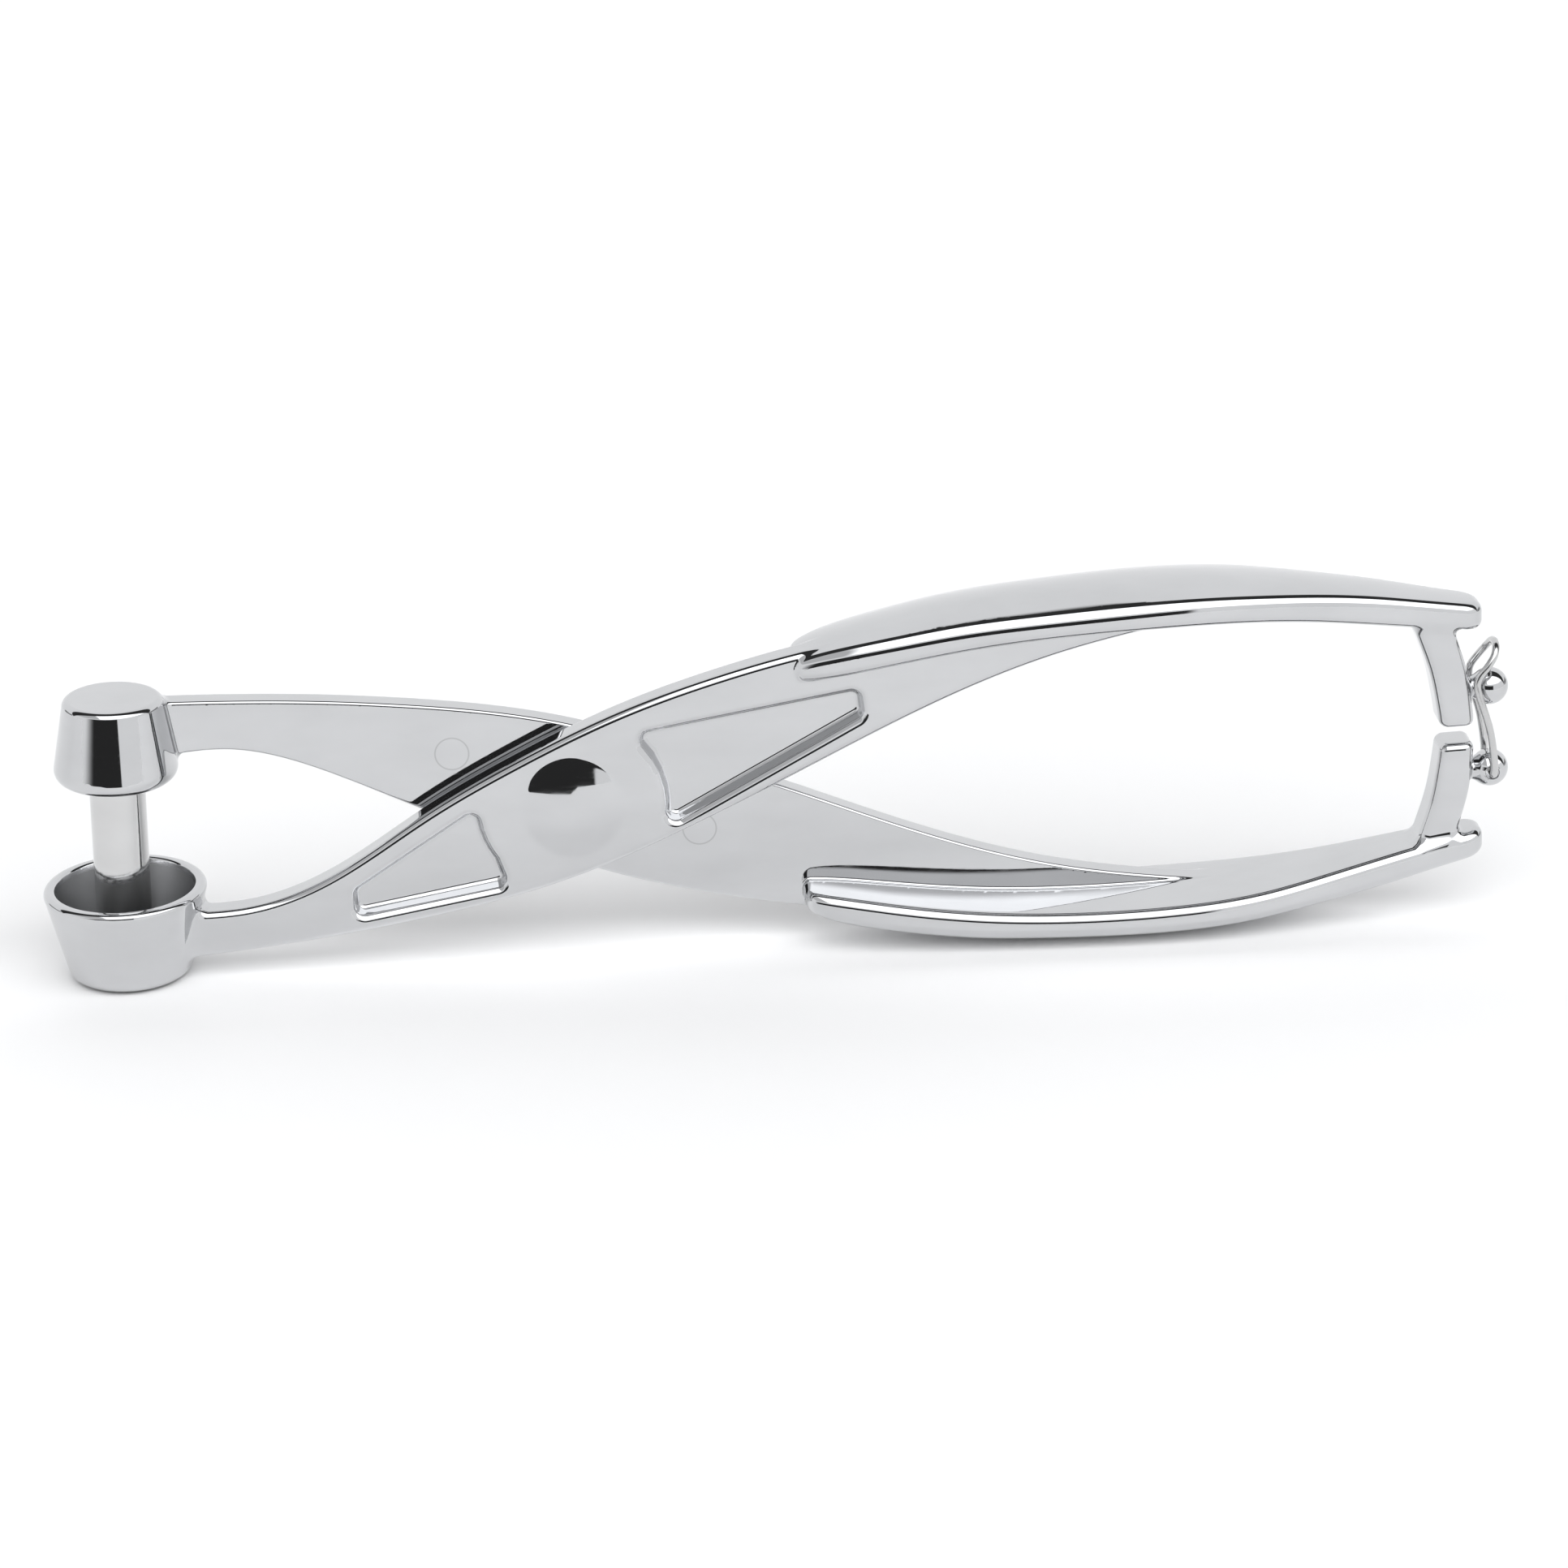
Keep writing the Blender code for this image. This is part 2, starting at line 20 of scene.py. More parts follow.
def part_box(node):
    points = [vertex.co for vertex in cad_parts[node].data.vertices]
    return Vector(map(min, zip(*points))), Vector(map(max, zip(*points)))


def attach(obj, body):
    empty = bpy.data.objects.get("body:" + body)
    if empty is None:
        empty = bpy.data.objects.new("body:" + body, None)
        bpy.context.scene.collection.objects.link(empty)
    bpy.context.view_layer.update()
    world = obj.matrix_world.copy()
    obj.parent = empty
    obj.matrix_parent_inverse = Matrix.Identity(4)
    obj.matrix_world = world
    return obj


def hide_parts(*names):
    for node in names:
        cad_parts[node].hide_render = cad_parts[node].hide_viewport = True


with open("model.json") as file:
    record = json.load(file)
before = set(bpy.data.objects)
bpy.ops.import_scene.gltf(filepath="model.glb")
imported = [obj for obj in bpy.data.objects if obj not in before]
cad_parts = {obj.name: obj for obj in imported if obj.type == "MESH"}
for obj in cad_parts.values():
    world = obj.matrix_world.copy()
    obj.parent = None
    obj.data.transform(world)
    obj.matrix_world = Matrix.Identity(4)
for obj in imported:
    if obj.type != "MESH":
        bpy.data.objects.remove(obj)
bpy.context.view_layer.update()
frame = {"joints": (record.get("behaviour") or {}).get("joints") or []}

MM = 0.001
CELL = 0.38                       # spacing of the castings' meshes, before they are refined where they turn
TURN = 3.5                        # most that the surface may turn along an edge
ROUNDS = 3                        # how often the edges that turn more are split
ROOM = 1.5                        # how far the sampled box reaches past a casting

# The tool frame, from the hinge at the pivot
HINGE = next(j for j in frame["joints"] if j["name"] == "handles_open")
TILT = 2.08
TOOL = Matrix.Translation(HINGE["pos_m"]) @ Matrix.Rotation(-math.radians(TILT), 4, "Y")

# Levers
FRONT_ARM = (-4.1, 0.3)
REAR_ARM = (0.75, 3.95)
FRONT_EDGE = 1.0
REAR_EDGE = 0.45
OUTER_END = [(-8, 6.7), (6, 12.7), (20, 17.0), (34, 20.0), (60, 22.0), (92, 22.4)]
FRONT_OUTER = [(-62, -10.6), (-54, -11.2), (-45, -11.1), (-33, -7.2), (-20, 0.5), *OUTER_END]
REAR_OUTER = [(-62, -9.6), (-54, -10.3), (-46, -10.4), (-33, -6.0), (-20, 0.9), *OUTER_END]
INNER = [(-62, -18.4), (-54, -18.0), (-38, -16.9), (-20, -14.7), (0, -10.4), (14, -5.2), (29.4, 1.5),
         (49, 10.3), (66, 16.2), (77, 18.6), (92, 20.9)]
NECK_END = -62
WEB_END = 91

# Handle flange along X
FLANGE = (30.8, 125.7)
HALF_WIDTH = [(29, 2.6), (31.6, 4.5), (34, 5.5), (38, 6.4), (44, 7.2), (54, 7.9), (64, 8.3), (78, 8.5),
              (86, 8.2), (94, 7.4), (103, 5.9), (112, 4.7), (118, 4.0), (123, 3.5), (127, 3.2)]
EDGE_TOP = [(29, 17.5), (34, 19.3), (38, 20.2), (44, 21.2), (54, 22.6), (64, 23.3), (78, 23.8), (90, 23.7),
            (103, 22.4), (112, 21.0), (118, 19.8), (123, 18.8), (127, 18.0)]
EDGE_FOOT = [(29, 15.4), (33, 15.8), (44, 17.6), (56, 19.4), (66, 20.2), (80, 20.5), (94, 19.9), (106, 18.1),
             (118, 15.9), (123, 15.1), (127, 14.5)]
CROWN = [(29, 0.3), (38, 1.1), (44, 1.5), (54, 1.8), (64, 1.9), (78, 1.9), (90, 1.3), (103, 0.8), (115, 0.4),
         (127, 0.2)]
RIDGE_SLOPE = 0.045
FLANGE_EDGE = 1.2
FOOT_EDGE = 1.4
FLANGE_ENDS = (1.6, 2.6)          # rounding in plan, pivot end and post end
FLANGE_FILLET = 0.4

# Posts and knobs
END_DROP = 0.4
POST_TOP = 1.25
POST_LEFT = [(0, 119.7), (1.25, 119.6), (5, 119.1), (10, 118.1), (14, 116.8), (17, 115.8), (20, 114.8)]
POST_RIGHT = [(0, 124.5), (1.25, 124.4), (5, 124.1), (9, 123.5), (13, 122.4), (17, 121.4), (20, 120.7)]
POST_HALF_DEPTH = 3.0
POST_REACH = 18                   # height where the post ends inside the grip
POST_EDGES = (0.2, 1.3, 1.0)      # roundings between its two sides, to its faces and round its tip
POST_FILLET = 1.2
KNOB = (126.9, 6.05)
KNOB_RADIUS = 2.6
NECK_RADIUS = 1.5
NECK_SPAN = (4.0, 0.5)            # where the neck starts and ends, before the ball's centre
KNOB_FILLET = 0.5
KNOB_HOLE_RADIUS = 0.95

# Cup and head, on an upright axis through the cup's base
CUP_AXIS = (-62.6, -20.7)
CUP_HEIGHT = 13.0
CUP_RIM_RADIUS = 11.35
CUP_BASE_RADIUS = 8.3
CUP_WALL = 1.7
CUP_FLOOR = 2.0
CUP_HOLE_RADIUS = 5.25
CUP_EDGES = (1.0, 1.4)            # roundings of the rim and the base
CUP_RIM_INSIDE = 0.35
BOWL_EDGE = 1.6
CUP_FILLET = 1.3
SLACK = 1.4                       # how far the head stands short of fully closed
HEAD_FOOT = 27.2
HEAD_HEIGHT = 11.7
HEAD_TOP_RADIUS = 6.7
HEAD_FOOT_RADIUS = 8.75
HEAD_EDGES = (0.8, 2.1)           # roundings of the top and the foot
HEAD_FILLET = 1.1
PUNCH_RADIUS = 3.8
PUNCH_TIP = 1.3                   # height of the punch's rim above the cup's base, fully closed
PUNCH_SEAT = 4.0
PUNCH_DISH = 0.9
SEAT_GAP = 0.15

# Pivot
DOME_RADIUS = 7.0
DOME_HEIGHT = 0.95
DOME_FILLET = 0.12
POCKET_DEPTH = 2.2
POCKET_ARC = 12.6                 # both pockets end on this circle round the pivot
POCKET_CORNER = 1.6
POCKET_RIM = 0.8
POCKET_FLOOR_EDGE = 0.5
POCKET_DRAFT = 0.3
WELL_RADIUS = 6.0
FRONT_WELL = 2.2
REAR_WELL = 1.6
BOSS_RADIUS = 3.2
SHOULDER_RADIUS = 2.5
THREAD_RADIUS = 1.9
THREAD_END = -2.3
CLEARANCE = 0.15
HOLE_RIM = 0.1
SPRING_MEAN_RADIUS = 4.3
SPRING_TURNS = 2.25
SPRING_HOLE_RADIUS = 0.75
SPRING_WIRE_RADIUS = 0.5
SPRING_SPAN = (-1.1, 1.6)
SPRING_BEND = 1.0
SCREW_HEAD_RADIUS = 4.6
THREAD_PITCH = 0.7
THRUST_WASHER = (6.5, 8.3, 0.3)   # inner radius, outer radius, thickness
SPRING_WASHER = (2.8, 4.7, 0.5)

# Faint round marks of the die's ejector pins in the rear lever's face
EJECTOR_MARKS = [(-15.9, 7.3), (17.1, -6.6)]
MARK_RADIUS = 2.3
MARK_FADE = (0.14, 0.06)          # off the ring by the first it can't be seen, by the second it is full
MARK_TONE = 0.78

# Keeper: one strand from the knob's hole to the top of the loop, as (x, z, half spacing)
WIRE_RADIUS = 0.52
STRAND = [(126.9, -6.45, 3.35), (126.95, -5.0, 3.4), (126.75, -2.6, 3.4), (126.3, 0.4, 3.4),
          (125.55, 3.2, 3.3), (124.85, 5.6, 3.05), (124.7, 6.9, 2.9), (125.05, 8.1, 2.85),
          (126.15, 9.5, 2.85), (127.1, 10.8, 2.4), (127.55, 11.8, 1.35), (127.65, 12.1, 0.0)]
END_INSET = 0.5                   # half the gap between the wire's two ends, inside the knob

# Camera, and how it stands to the tool
CAMERA_AZIMUTH = -3.1
CAMERA_ELEVATION = 22.0
CAMERA_ROLL = 1.45
CAMERA_DISTANCE = 0.6134
CAMERA_LENS = 102.5
CAMERA_AIM = (0.0008, 0, 0.02334)

# Floor and surroundings; bearings are degrees from straight in front, heights degrees above level
FLOOR_REACH = 6.0
TABLE = [(-0.8, 1.2), (-0.8, -0.3), (-0.2, -0.25), (-0.12, -0.125), (-0.03, -0.125), (-0.015, -0.2),
         (0.2, -0.24), (0.8, -0.3), (0.8, 1.2)]
FLOOR_DROP = 0.0002
FLOOR_COLOUR = (0.89, 0.89, 0.89, 1)
FRONT_WALL = 2.35
WEST_WALL = 0.65                  # level of the front wall west of WALL_END
LOW_WALL = 1.0                    # level of the front wall below WALL_FOOT
BACK_WALL = 1.02
DIFFUSE_GAIN = 1.46               # how much more the surroundings light the floor than they show in metal
WALL_FOOT = (23, 27)              # heights between which the front wall changes level
WALL_END = (-0.42, -0.34)         # the same toward the west, by the direction's east component
FRONT_TO_BACK = 0.35              # south component beyond which only one of the two walls counts
SURROUNDINGS = 0.97               # what the camera sees past the floor
OVERHEAD_GAP = (77, 118)          # from where to where, by degrees over the top from the front
OVERHEAD_LEVEL = 0.04
OVERHEAD_SOFT = 2
# Low dark patches: first and last bearing, top, softness at the first bearing, darkness
LOW_GAPS = [(-48, 14, 15.5, 12, 0.97), (95, 125, 10, 3, 0.7), (-125, -95, 10, 3, 0.7)]


# Distance fields: arrays of distances, negative inside

def spline(points):
    """Natural cubic spline through (x, value) points, as a function that gives value and slope."""
    xs, ys = np.array(points, float).T
    steps = np.diff(xs)
    slopes = np.diff(ys) / steps
    system = np.eye(len(xs))
    right = np.zeros(len(xs))
    for i in range(1, len(xs) - 1):
        system[i, i - 1:i + 2] = steps[i - 1], 2 * (steps[i - 1] + steps[i]), steps[i]
        right[i] = 6 * (slopes[i] - slopes[i - 1])
    bend = np.linalg.solve(system, right)

    def evaluate(x):
        x = np.clip(x, xs[0], xs[-1])
        i = np.clip(np.searchsorted(xs, x) - 1, 0, len(steps) - 1)
        h, t = steps[i], x - xs[i]
        first = slopes[i] - h * (2 * bend[i] + bend[i + 1]) / 6
        third = (bend[i + 1] - bend[i]) / (6 * h)
        value = ys[i] + t * (first + t * (bend[i] / 2 + t * third))
        return value, first + t * (bend[i] + 3 * t * third)

    return evaluate


def above(z, curve, x):
    """Distance above a curve z(x)."""
    value, slope = curve(x)
    return (z - value) / np.sqrt(1 + slope ** 2)


def meet(a, b, radius):
    """What two shapes share, with the corner between them rounded."""
    corner = np.hypot(np.maximum(a + radius, 0), np.maximum(b + radius, 0))
    return np.minimum(np.maximum(a, b), -radius) + corner


def join(a, b, radius):
    """Two shapes together, with a fillet between them."""
    return -meet(-a, -b, radius)


def cut(a, b, radius):
    """Shape a less shape b, with a rounded rim."""
    return meet(a, -b, radius)


def slab(value, low, high):
    """What lies between two values."""
    return np.maximum(low - value, value - high)


def lever(x, y, z, outer, depth, edge):
    """The flat arm and web between its outer and inner curves."""
    side = np.maximum(above(z, outer, x), -above(z, INNER_CURVE, x))
    side = np.maximum(side, slab(x, NECK_END, WEB_END))
    return meet(side, slab(y, *depth), edge)


def flange(x, y, z):
    """Handle grip: crowned outer face, upright edges, inner face with a low ridge along it."""
    half, narrowing = HALF_CURVE(x)
    crown = CROWN_CURVE(x)[0]
    across = np.minimum(np.abs(y) / half, 1.2)
    top, top_slope = TOP_CURVE(x)
    foot, foot_slope = FOOT_CURVE(x)
    over = z - top - crown * (1 - across ** 2)
    over = over / np.sqrt(1 + top_slope ** 2 + (2 * crown * across / half) ** 2)
    ridge = RIDGE_SLOPE * half * (1 - across ** 2)
    under = (foot - ridge - z) / np.sqrt(1 + foot_slope ** 2 + (2 * RIDGE_SLOPE * across) ** 2)
    aside = (np.abs(y) - half) / np.sqrt(1 + narrowing ** 2)
    plan = meet(meet(aside, FLANGE[0] - x, FLANGE_ENDS[0]), x - FLANGE[1], FLANGE_ENDS[1])
    return meet(meet(plan, over, FLANGE_EDGE), under, FOOT_EDGE)


def post(x, y, z):
    """Stop post under the grip's end, between its left and right curves."""
    between, face, tip = POST_EDGES
    side = meet(above(x, POST_RIGHT_CURVE, z), -above(x, POST_LEFT_CURVE, z), between)
    side = np.maximum(side, z - POST_REACH)
    return meet(meet(side, np.abs(y) - POST_HALF_DEPTH, face), POST_TOP - z, tip)


def knob_centre(side):
    """Where a knob stands; side is 1 for the upper one and -1 for the lower."""
    return KNOB[0], side * KNOB[1] - END_DROP


def knob(x, y, z):
    """Ball on a short neck that comes out of the post."""
    cx, cz = KNOB[0], KNOB[1]
    ball = np.sqrt((x - cx) ** 2 + y ** 2 + (z - cz) ** 2) - KNOB_RADIUS
    neck = np.maximum(np.hypot(y, z - cz) - NECK_RADIUS, slab(x, cx - NECK_SPAN[0], cx - NECK_SPAN[1]))
    return join(ball, neck, KNOB_FILLET)


def handle(x, y, z, side, outer, depth, edge):
    """Arm, grip, post and knob of one lever; side is 1 for the upper handle and -1 for the lower."""
    flipped = side * z
    level = flipped + side * END_DROP
    arm = join(lever(x, y, flipped, outer, depth, edge), flange(x, y, flipped), FLANGE_FILLET)
    arm = join(arm, post(x, y, level), POST_FILLET)
    return join(arm, knob(x, y, level), KNOB_FILLET)


def upright(x, y, z, slack=0.0):
    """Radius from the cup's axis and height over its base; with slack, carried round the pivot."""
    turn = math.radians(slack)
    x, z = x * math.cos(turn) - z * math.sin(turn), x * math.sin(turn) + z * math.cos(turn)
    x, z = x - CUP_AXIS[0], z - CUP_AXIS[1]
    tilt = math.radians(TILT)
    x, z = x * math.cos(tilt) - z * math.sin(tilt), x * math.sin(tilt) + z * math.cos(tilt)
    return np.hypot(x, y), z


def cone(radius, height, low, low_radius, high, high_radius):
    """Outside of a cone through two circles."""
    slope = (high_radius - low_radius) / (high - low)
    return (radius - low_radius - slope * (height - low)) / math.hypot(1, slope)


def cup_outer(radius, height):
    """The cup's outside."""
    wall = cone(radius, height, 0, CUP_BASE_RADIUS, CUP_HEIGHT, CUP_RIM_RADIUS)
    return meet(meet(wall, height - CUP_HEIGHT, CUP_EDGES[0]), -height, CUP_EDGES[1])


def cup_space(radius, height):
    """What is hollow in the cup: the bowl and the hole in its floor."""
    wall = cone(radius, height, 0, CUP_BASE_RADIUS - CUP_WALL, CUP_HEIGHT, CUP_RIM_RADIUS - CUP_WALL)
    bowl = meet(wall, CUP_FLOOR - height, BOWL_EDGE)
    return np.minimum(bowl, np.maximum(radius - CUP_HOLE_RADIUS, height - CUP_FLOOR - 1))


def punch_head(radius, height):
    """The solid head that holds the punch."""
    wall = cone(radius, height, HEAD_FOOT, HEAD_FOOT_RADIUS, HEAD_FOOT + HEAD_HEIGHT, HEAD_TOP_RADIUS)
    topped = meet(wall, height - HEAD_FOOT - HEAD_HEIGHT, HEAD_EDGES[0])
    return meet(topped, HEAD_FOOT - height, HEAD_EDGES[1])


def polygon(x, z, corners, radius):
    """Distance to a polygon whose corners are rounded by about the given radius."""
    corners = np.array(corners, float)
    nearest = np.full(np.broadcast(x, z).shape, np.inf)
    inside = np.zeros(nearest.shape, bool)
    for (ax, az), (bx, bz) in zip(corners, np.roll(corners, -1, axis=0)):
        ex, ez = bx - ax, bz - az
        along = np.clip(((x - ax) * ex + (z - az) * ez) / (ex ** 2 + ez ** 2), 0, 1)
        nearest = np.minimum(nearest, np.hypot(x - ax - along * ex, z - az - along * ez))
        inside ^= ((az > z) != (bz > z)) & (x < ex * (z - az) / (ez or 1e-9) + ax)
    return np.where(inside, -nearest, nearest) - radius


def pocket(x, y, z, corners):
    """Pocket with drafted walls in the front lever's face."""
    wall = polygon(x, z, corners, POCKET_CORNER)
    depth = y - FRONT_ARM[0]
    wall = (wall + POCKET_DRAFT * depth) / math.hypot(1, POCKET_DRAFT)
    return meet(wall, depth - POCKET_DEPTH, POCKET_FLOOR_EDGE)


def arc(*angles):
    """Points on the circle that both pockets end on, drawn in by the corner radius."""
    reach = POCKET_ARC + POCKET_CORNER
    return [(reach * math.cos(math.radians(a)), reach * math.sin(math.radians(a))) for a in angles]


LEFT_POCKET = [*arc(186, 192, 199, 206, 212), (-11.4, -9.75), (-29.5, -12.3), (-29.5, -10.7)]
RIGHT_POCKET = [*arc(37.5, 28, 18, 7, -2, -7.5), (38.9, 10.7), (38.8, 12.2)]

INNER_CURVE = spline(INNER)
FRONT_CURVE = spline(FRONT_OUTER)
REAR_CURVE = spline(REAR_OUTER)
HALF_CURVE = spline(HALF_WIDTH)
TOP_CURVE = spline(EDGE_TOP)
FOOT_CURVE = spline(EDGE_FOOT)
CROWN_CURVE = spline(CROWN)
POST_LEFT_CURVE = spline(POST_LEFT)
POST_RIGHT_CURVE = spline(POST_RIGHT)


def spring_anchor(angle):
    """A point on the spring's mean circle."""
    return SPRING_MEAN_RADIUS * math.cos(angle), SPRING_MEAN_RADIUS * math.sin(angle)


def bore(x, y, z, radius, low, high, centre=(0, 0)):
    """A round hole along Y."""
    return np.maximum(np.hypot(x - centre[0], z - centre[1]) - radius, slab(y, low, high))


def front_casting(x, y, z):
    """Lever with the cup, dome, pockets and boss."""
    front, back = FRONT_ARM
    body = handle(x, y, z, 1, FRONT_CURVE, FRONT_ARM, FRONT_EDGE)
    radius, height = upright(x, y, z)
    body = join(body, cup_outer(radius, height), CUP_FILLET)
    body = cut(body, cup_space(radius, height), CUP_RIM_INSIDE)
    ball = (DOME_RADIUS ** 2 + DOME_HEIGHT ** 2) / (2 * DOME_HEIGHT)
    cap = np.sqrt(x ** 2 + (y - front + DOME_HEIGHT - ball) ** 2 + z ** 2) - ball
    body = join(body, np.maximum(cap, y - front - 0.5), DOME_FILLET)
    body = cut(body, pocket(x, y, z, LEFT_POCKET), POCKET_RIM)
    body = cut(body, pocket(x, y, z, RIGHT_POCKET), POCKET_RIM)
    body = cut(body, bore(x, y, z, WELL_RADIUS, back - FRONT_WELL, back + 1), HOLE_RIM)
    boss = bore(x, y, z, BOSS_RADIUS, back - FRONT_WELL - 0.3, REAR_ARM[0] + REAR_WELL - CLEARANCE)
    body = np.minimum(body, boss)
    thread = bore(x, y, z, THREAD_RADIUS + CLEARANCE, THREAD_END - CLEARANCE, 5)
    body = cut(body, thread, HOLE_RIM)
    leg_hole = bore(x, y, z, SPRING_HOLE_RADIUS, back - FRONT_WELL - 1, back, spring_anchor(0))
    return cut(body, leg_hole, HOLE_RIM)


def rear_casting(x, y, z):
    """Lever with the punch head and the drilled knob."""
    front, back = REAR_ARM
    body = handle(x, y, z, -1, REAR_CURVE, REAR_ARM, REAR_EDGE)
    radius, height = upright(x, y, z, SLACK)
    body = join(body, punch_head(radius, height), HEAD_FILLET)
    seat = slab(height, HEAD_FOOT - 1, HEAD_FOOT + PUNCH_SEAT + SEAT_GAP)
    body = cut(body, np.maximum(radius - PUNCH_RADIUS - SEAT_GAP, seat), HOLE_RIM)
    body = cut(body, bore(x, y, z, WELL_RADIUS, front - 1, front + REAR_WELL), HOLE_RIM)
    body = cut(body, bore(x, y, z, SHOULDER_RADIUS + CLEARANCE, front, back + 1), HOLE_RIM)
    spring_end = spring_anchor(2 * math.pi * SPRING_TURNS)
    body = cut(body, bore(x, y, z, SPRING_HOLE_RADIUS, front, back + 1, spring_end), HOLE_RIM)
    return cut(body, bore(x, y, z, KNOB_HOLE_RADIUS, -4, 4, knob_centre(-1)), 0.15)


# Meshes

def slope_of(field, points, reach=0.02):
    """The field's gradient at some points."""
    slope = np.empty_like(points)
    for axis in range(3):
        step = np.zeros(3)
        step[axis] = reach
        slope[:, axis] = (field(*(points + step).T) - field(*(points - step).T)) / (2 * reach)
    return slope


def skin(field, low, high, cell):
    """Surface nets: a point in every cell that the surface passes, moved onto it, and quads between them."""
    count = [int((b - a) / cell) + 2 for a, b in zip(low, high)]
    grid = [a + cell * np.arange(n) for a, n in zip(low, count)]
    values = field(grid[0][:, None, None], grid[1][None, :, None], grid[2][None, None, :])
    solid = values < 0
    corners = [(i, j, k) for i in (0, 1) for j in (0, 1) for k in (0, 1)]
    part = [solid[i:count[0] - 1 + i, j:count[1] - 1 + j, k:count[2] - 1 + k] for i, j, k in corners]
    filled = sum(p.astype(np.int8) for p in part)
    cells = np.argwhere((filled > 0) & (filled < 8))
    total = np.zeros((len(cells), 3))
    crossings = np.zeros(len(cells))
    for a in corners:
        for axis in range(3):
            if a[axis]:
                continue
            b = tuple(c + (n == axis) for n, c in enumerate(a))
            va, vb = (values[tuple((cells + c).T)] for c in (a, b))
            crossed = (va < 0) != (vb < 0)
            share = np.where(crossed, va / np.where(crossed, va - vb, 1), 0)
            total += crossed[:, None] * (np.array(a) + share[:, None] * (np.array(b) - np.array(a)))
            crossings += crossed
    points = np.array(low) + cell * (cells + total / crossings[:, None])
    points = onto(field, onto(field, points, 0.4 * cell), 0.4 * cell)
    index = np.full(filled.shape, -1, np.int32)
    index[tuple(cells.T)] = np.arange(len(cells))
    quads = []
    for axis in range(3):
        near, far = [slice(None)] * 3, [slice(None)] * 3
        near[axis], far[axis] = slice(None, -1), slice(1, None)
        starts = np.argwhere(solid[tuple(near)] != solid[tuple(far)])
        u, v = (np.eye(3, dtype=int)[(axis + n) % 3] for n in (1, 2))
        ring = np.stack([index[tuple((starts - s).T)] for s in (0 * u, u, u + v, v)], axis=1)
        outward = solid[tuple(near)][tuple(starts.T)]
        quads.append(np.where(outward[:, None], ring, ring[:, ::-1]))
    quads = np.concatenate(quads)
    first, second = (np.linalg.norm(points[quads[:, a]] - points[quads[:, a + 2]], axis=1) for a in (0, 1))
    quads = np.where((first > second)[:, None], np.roll(quads, 1, axis=1), quads)
    return points, np.concatenate([quads[:, [0, 1, 2]], quads[:, [0, 2, 3]]])


def onto(field, points, most):
    """Points moved onto the surface, by no more than some distance."""
    slope = slope_of(field, points)
    move = -(field(*points.T) / (slope ** 2).sum(1))[:, None] * slope
    return points + np.clip(move, -most, most)


def normals_of(field, points):
    """The surface's normals at some points."""
    slope = slope_of(field, points, 0.04)
    return slope / np.linalg.norm(slope, axis=1)[:, None]


def refine(field, points, normals, triangles):
    """Splits the edges along which the surface turns much, and the triangles beside them."""
    sides = [triangles[:, [0, 1]], triangles[:, [1, 2]], triangles[:, [2, 0]]]
    pairs = np.sort(np.concatenate(sides), axis=1)
    codes = pairs[:, 0].astype(np.int64) * len(points) + pairs[:, 1]
    edges, which = np.unique(codes, return_inverse=True)
    a, b = edges // len(points), edges % len(points)
    turning = (normals[a] * normals[b]).sum(1) < math.cos(math.radians(TURN))
    middles = onto(field, (points[a[turning]] + points[b[turning]]) / 2, 0.3 * CELL)
    number = np.full(len(edges), -1)
    number[turning] = len(points) + np.arange(len(middles))
    split = number[which].reshape(3, -1).T
    made = [triangles[(split < 0).all(axis=1)]]
    for pattern in range(1, 8):
        wanted = [bool(pattern & 1), bool(pattern & 2), bool(pattern & 4)]
        chosen = ((split >= 0) == wanted).all(axis=1)
        turns = {1: wanted.index(True), 3: 0}.get(sum(wanted))
        if turns is None:
            turns = wanted.index(False) + 1
        p, q, r = np.roll(triangles[chosen], -turns, axis=1).T
        pq, qr, rp = np.roll(split[chosen], -turns, axis=1).T
        pieces = {1: [(p, pq, r), (pq, q, r)],
                  2: [(pq, q, qr), (p, pq, qr), (p, qr, r)],
                  3: [(p, pq, rp), (pq, q, qr), (rp, qr, r), (pq, qr, rp)]}[sum(wanted)]
        made += [np.stack(piece, axis=1) for piece in pieces]
    points = np.concatenate([points, middles])
    normals = np.concatenate([normals, normals_of(field, middles)])
    return points, normals, np.concatenate(made)


def casting(name, field, node, body, material):
    """The mesh of a field, standing for a CAD node."""
    corners = [TOOL.inverted() @ Vector(p) / MM for p in node_corners(node)]
    low = [min(c[i] for c in corners) - ROOM for i in range(3)]
    high = [max(c[i] for c in corners) + ROOM for i in range(3)]
    points, triangles = skin(field, low, high, CELL * (1))
    normals = normals_of(field, points)
    for _ in range(ROUNDS):
        points, normals, triangles = refine(field, points, normals, triangles)
    mesh = bpy.data.meshes.new(name)
    mesh.from_pydata(points * MM, [], triangles)
    mesh.shade_smooth()
    obj = add_piece(name, mesh, node, body, material)
    mesh.normals_split_custom_set_from_vertices(normals @ np.array(TOOL.to_3x3()).T)
    return obj


def node_corners(node):
    """The corners of a CAD node's box, in metres."""
    low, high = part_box(node)
    return [(x, y, z) for x in (low.x, high.x) for y in (low.y, high.y) for z in (low.z, high.z)]


def add_piece(name, mesh, node, body, material):
    """Puts a mesh drawn in the tool frame, in metres, in place of a CAD node."""
    mesh.transform(TOOL)
    obj = bpy.data.objects.new(name, mesh)
    bpy.context.scene.collection.objects.link(obj)
    mesh.materials.clear()
    mesh.materials.append(material)
    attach(obj, body)
    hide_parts(node)
    return obj


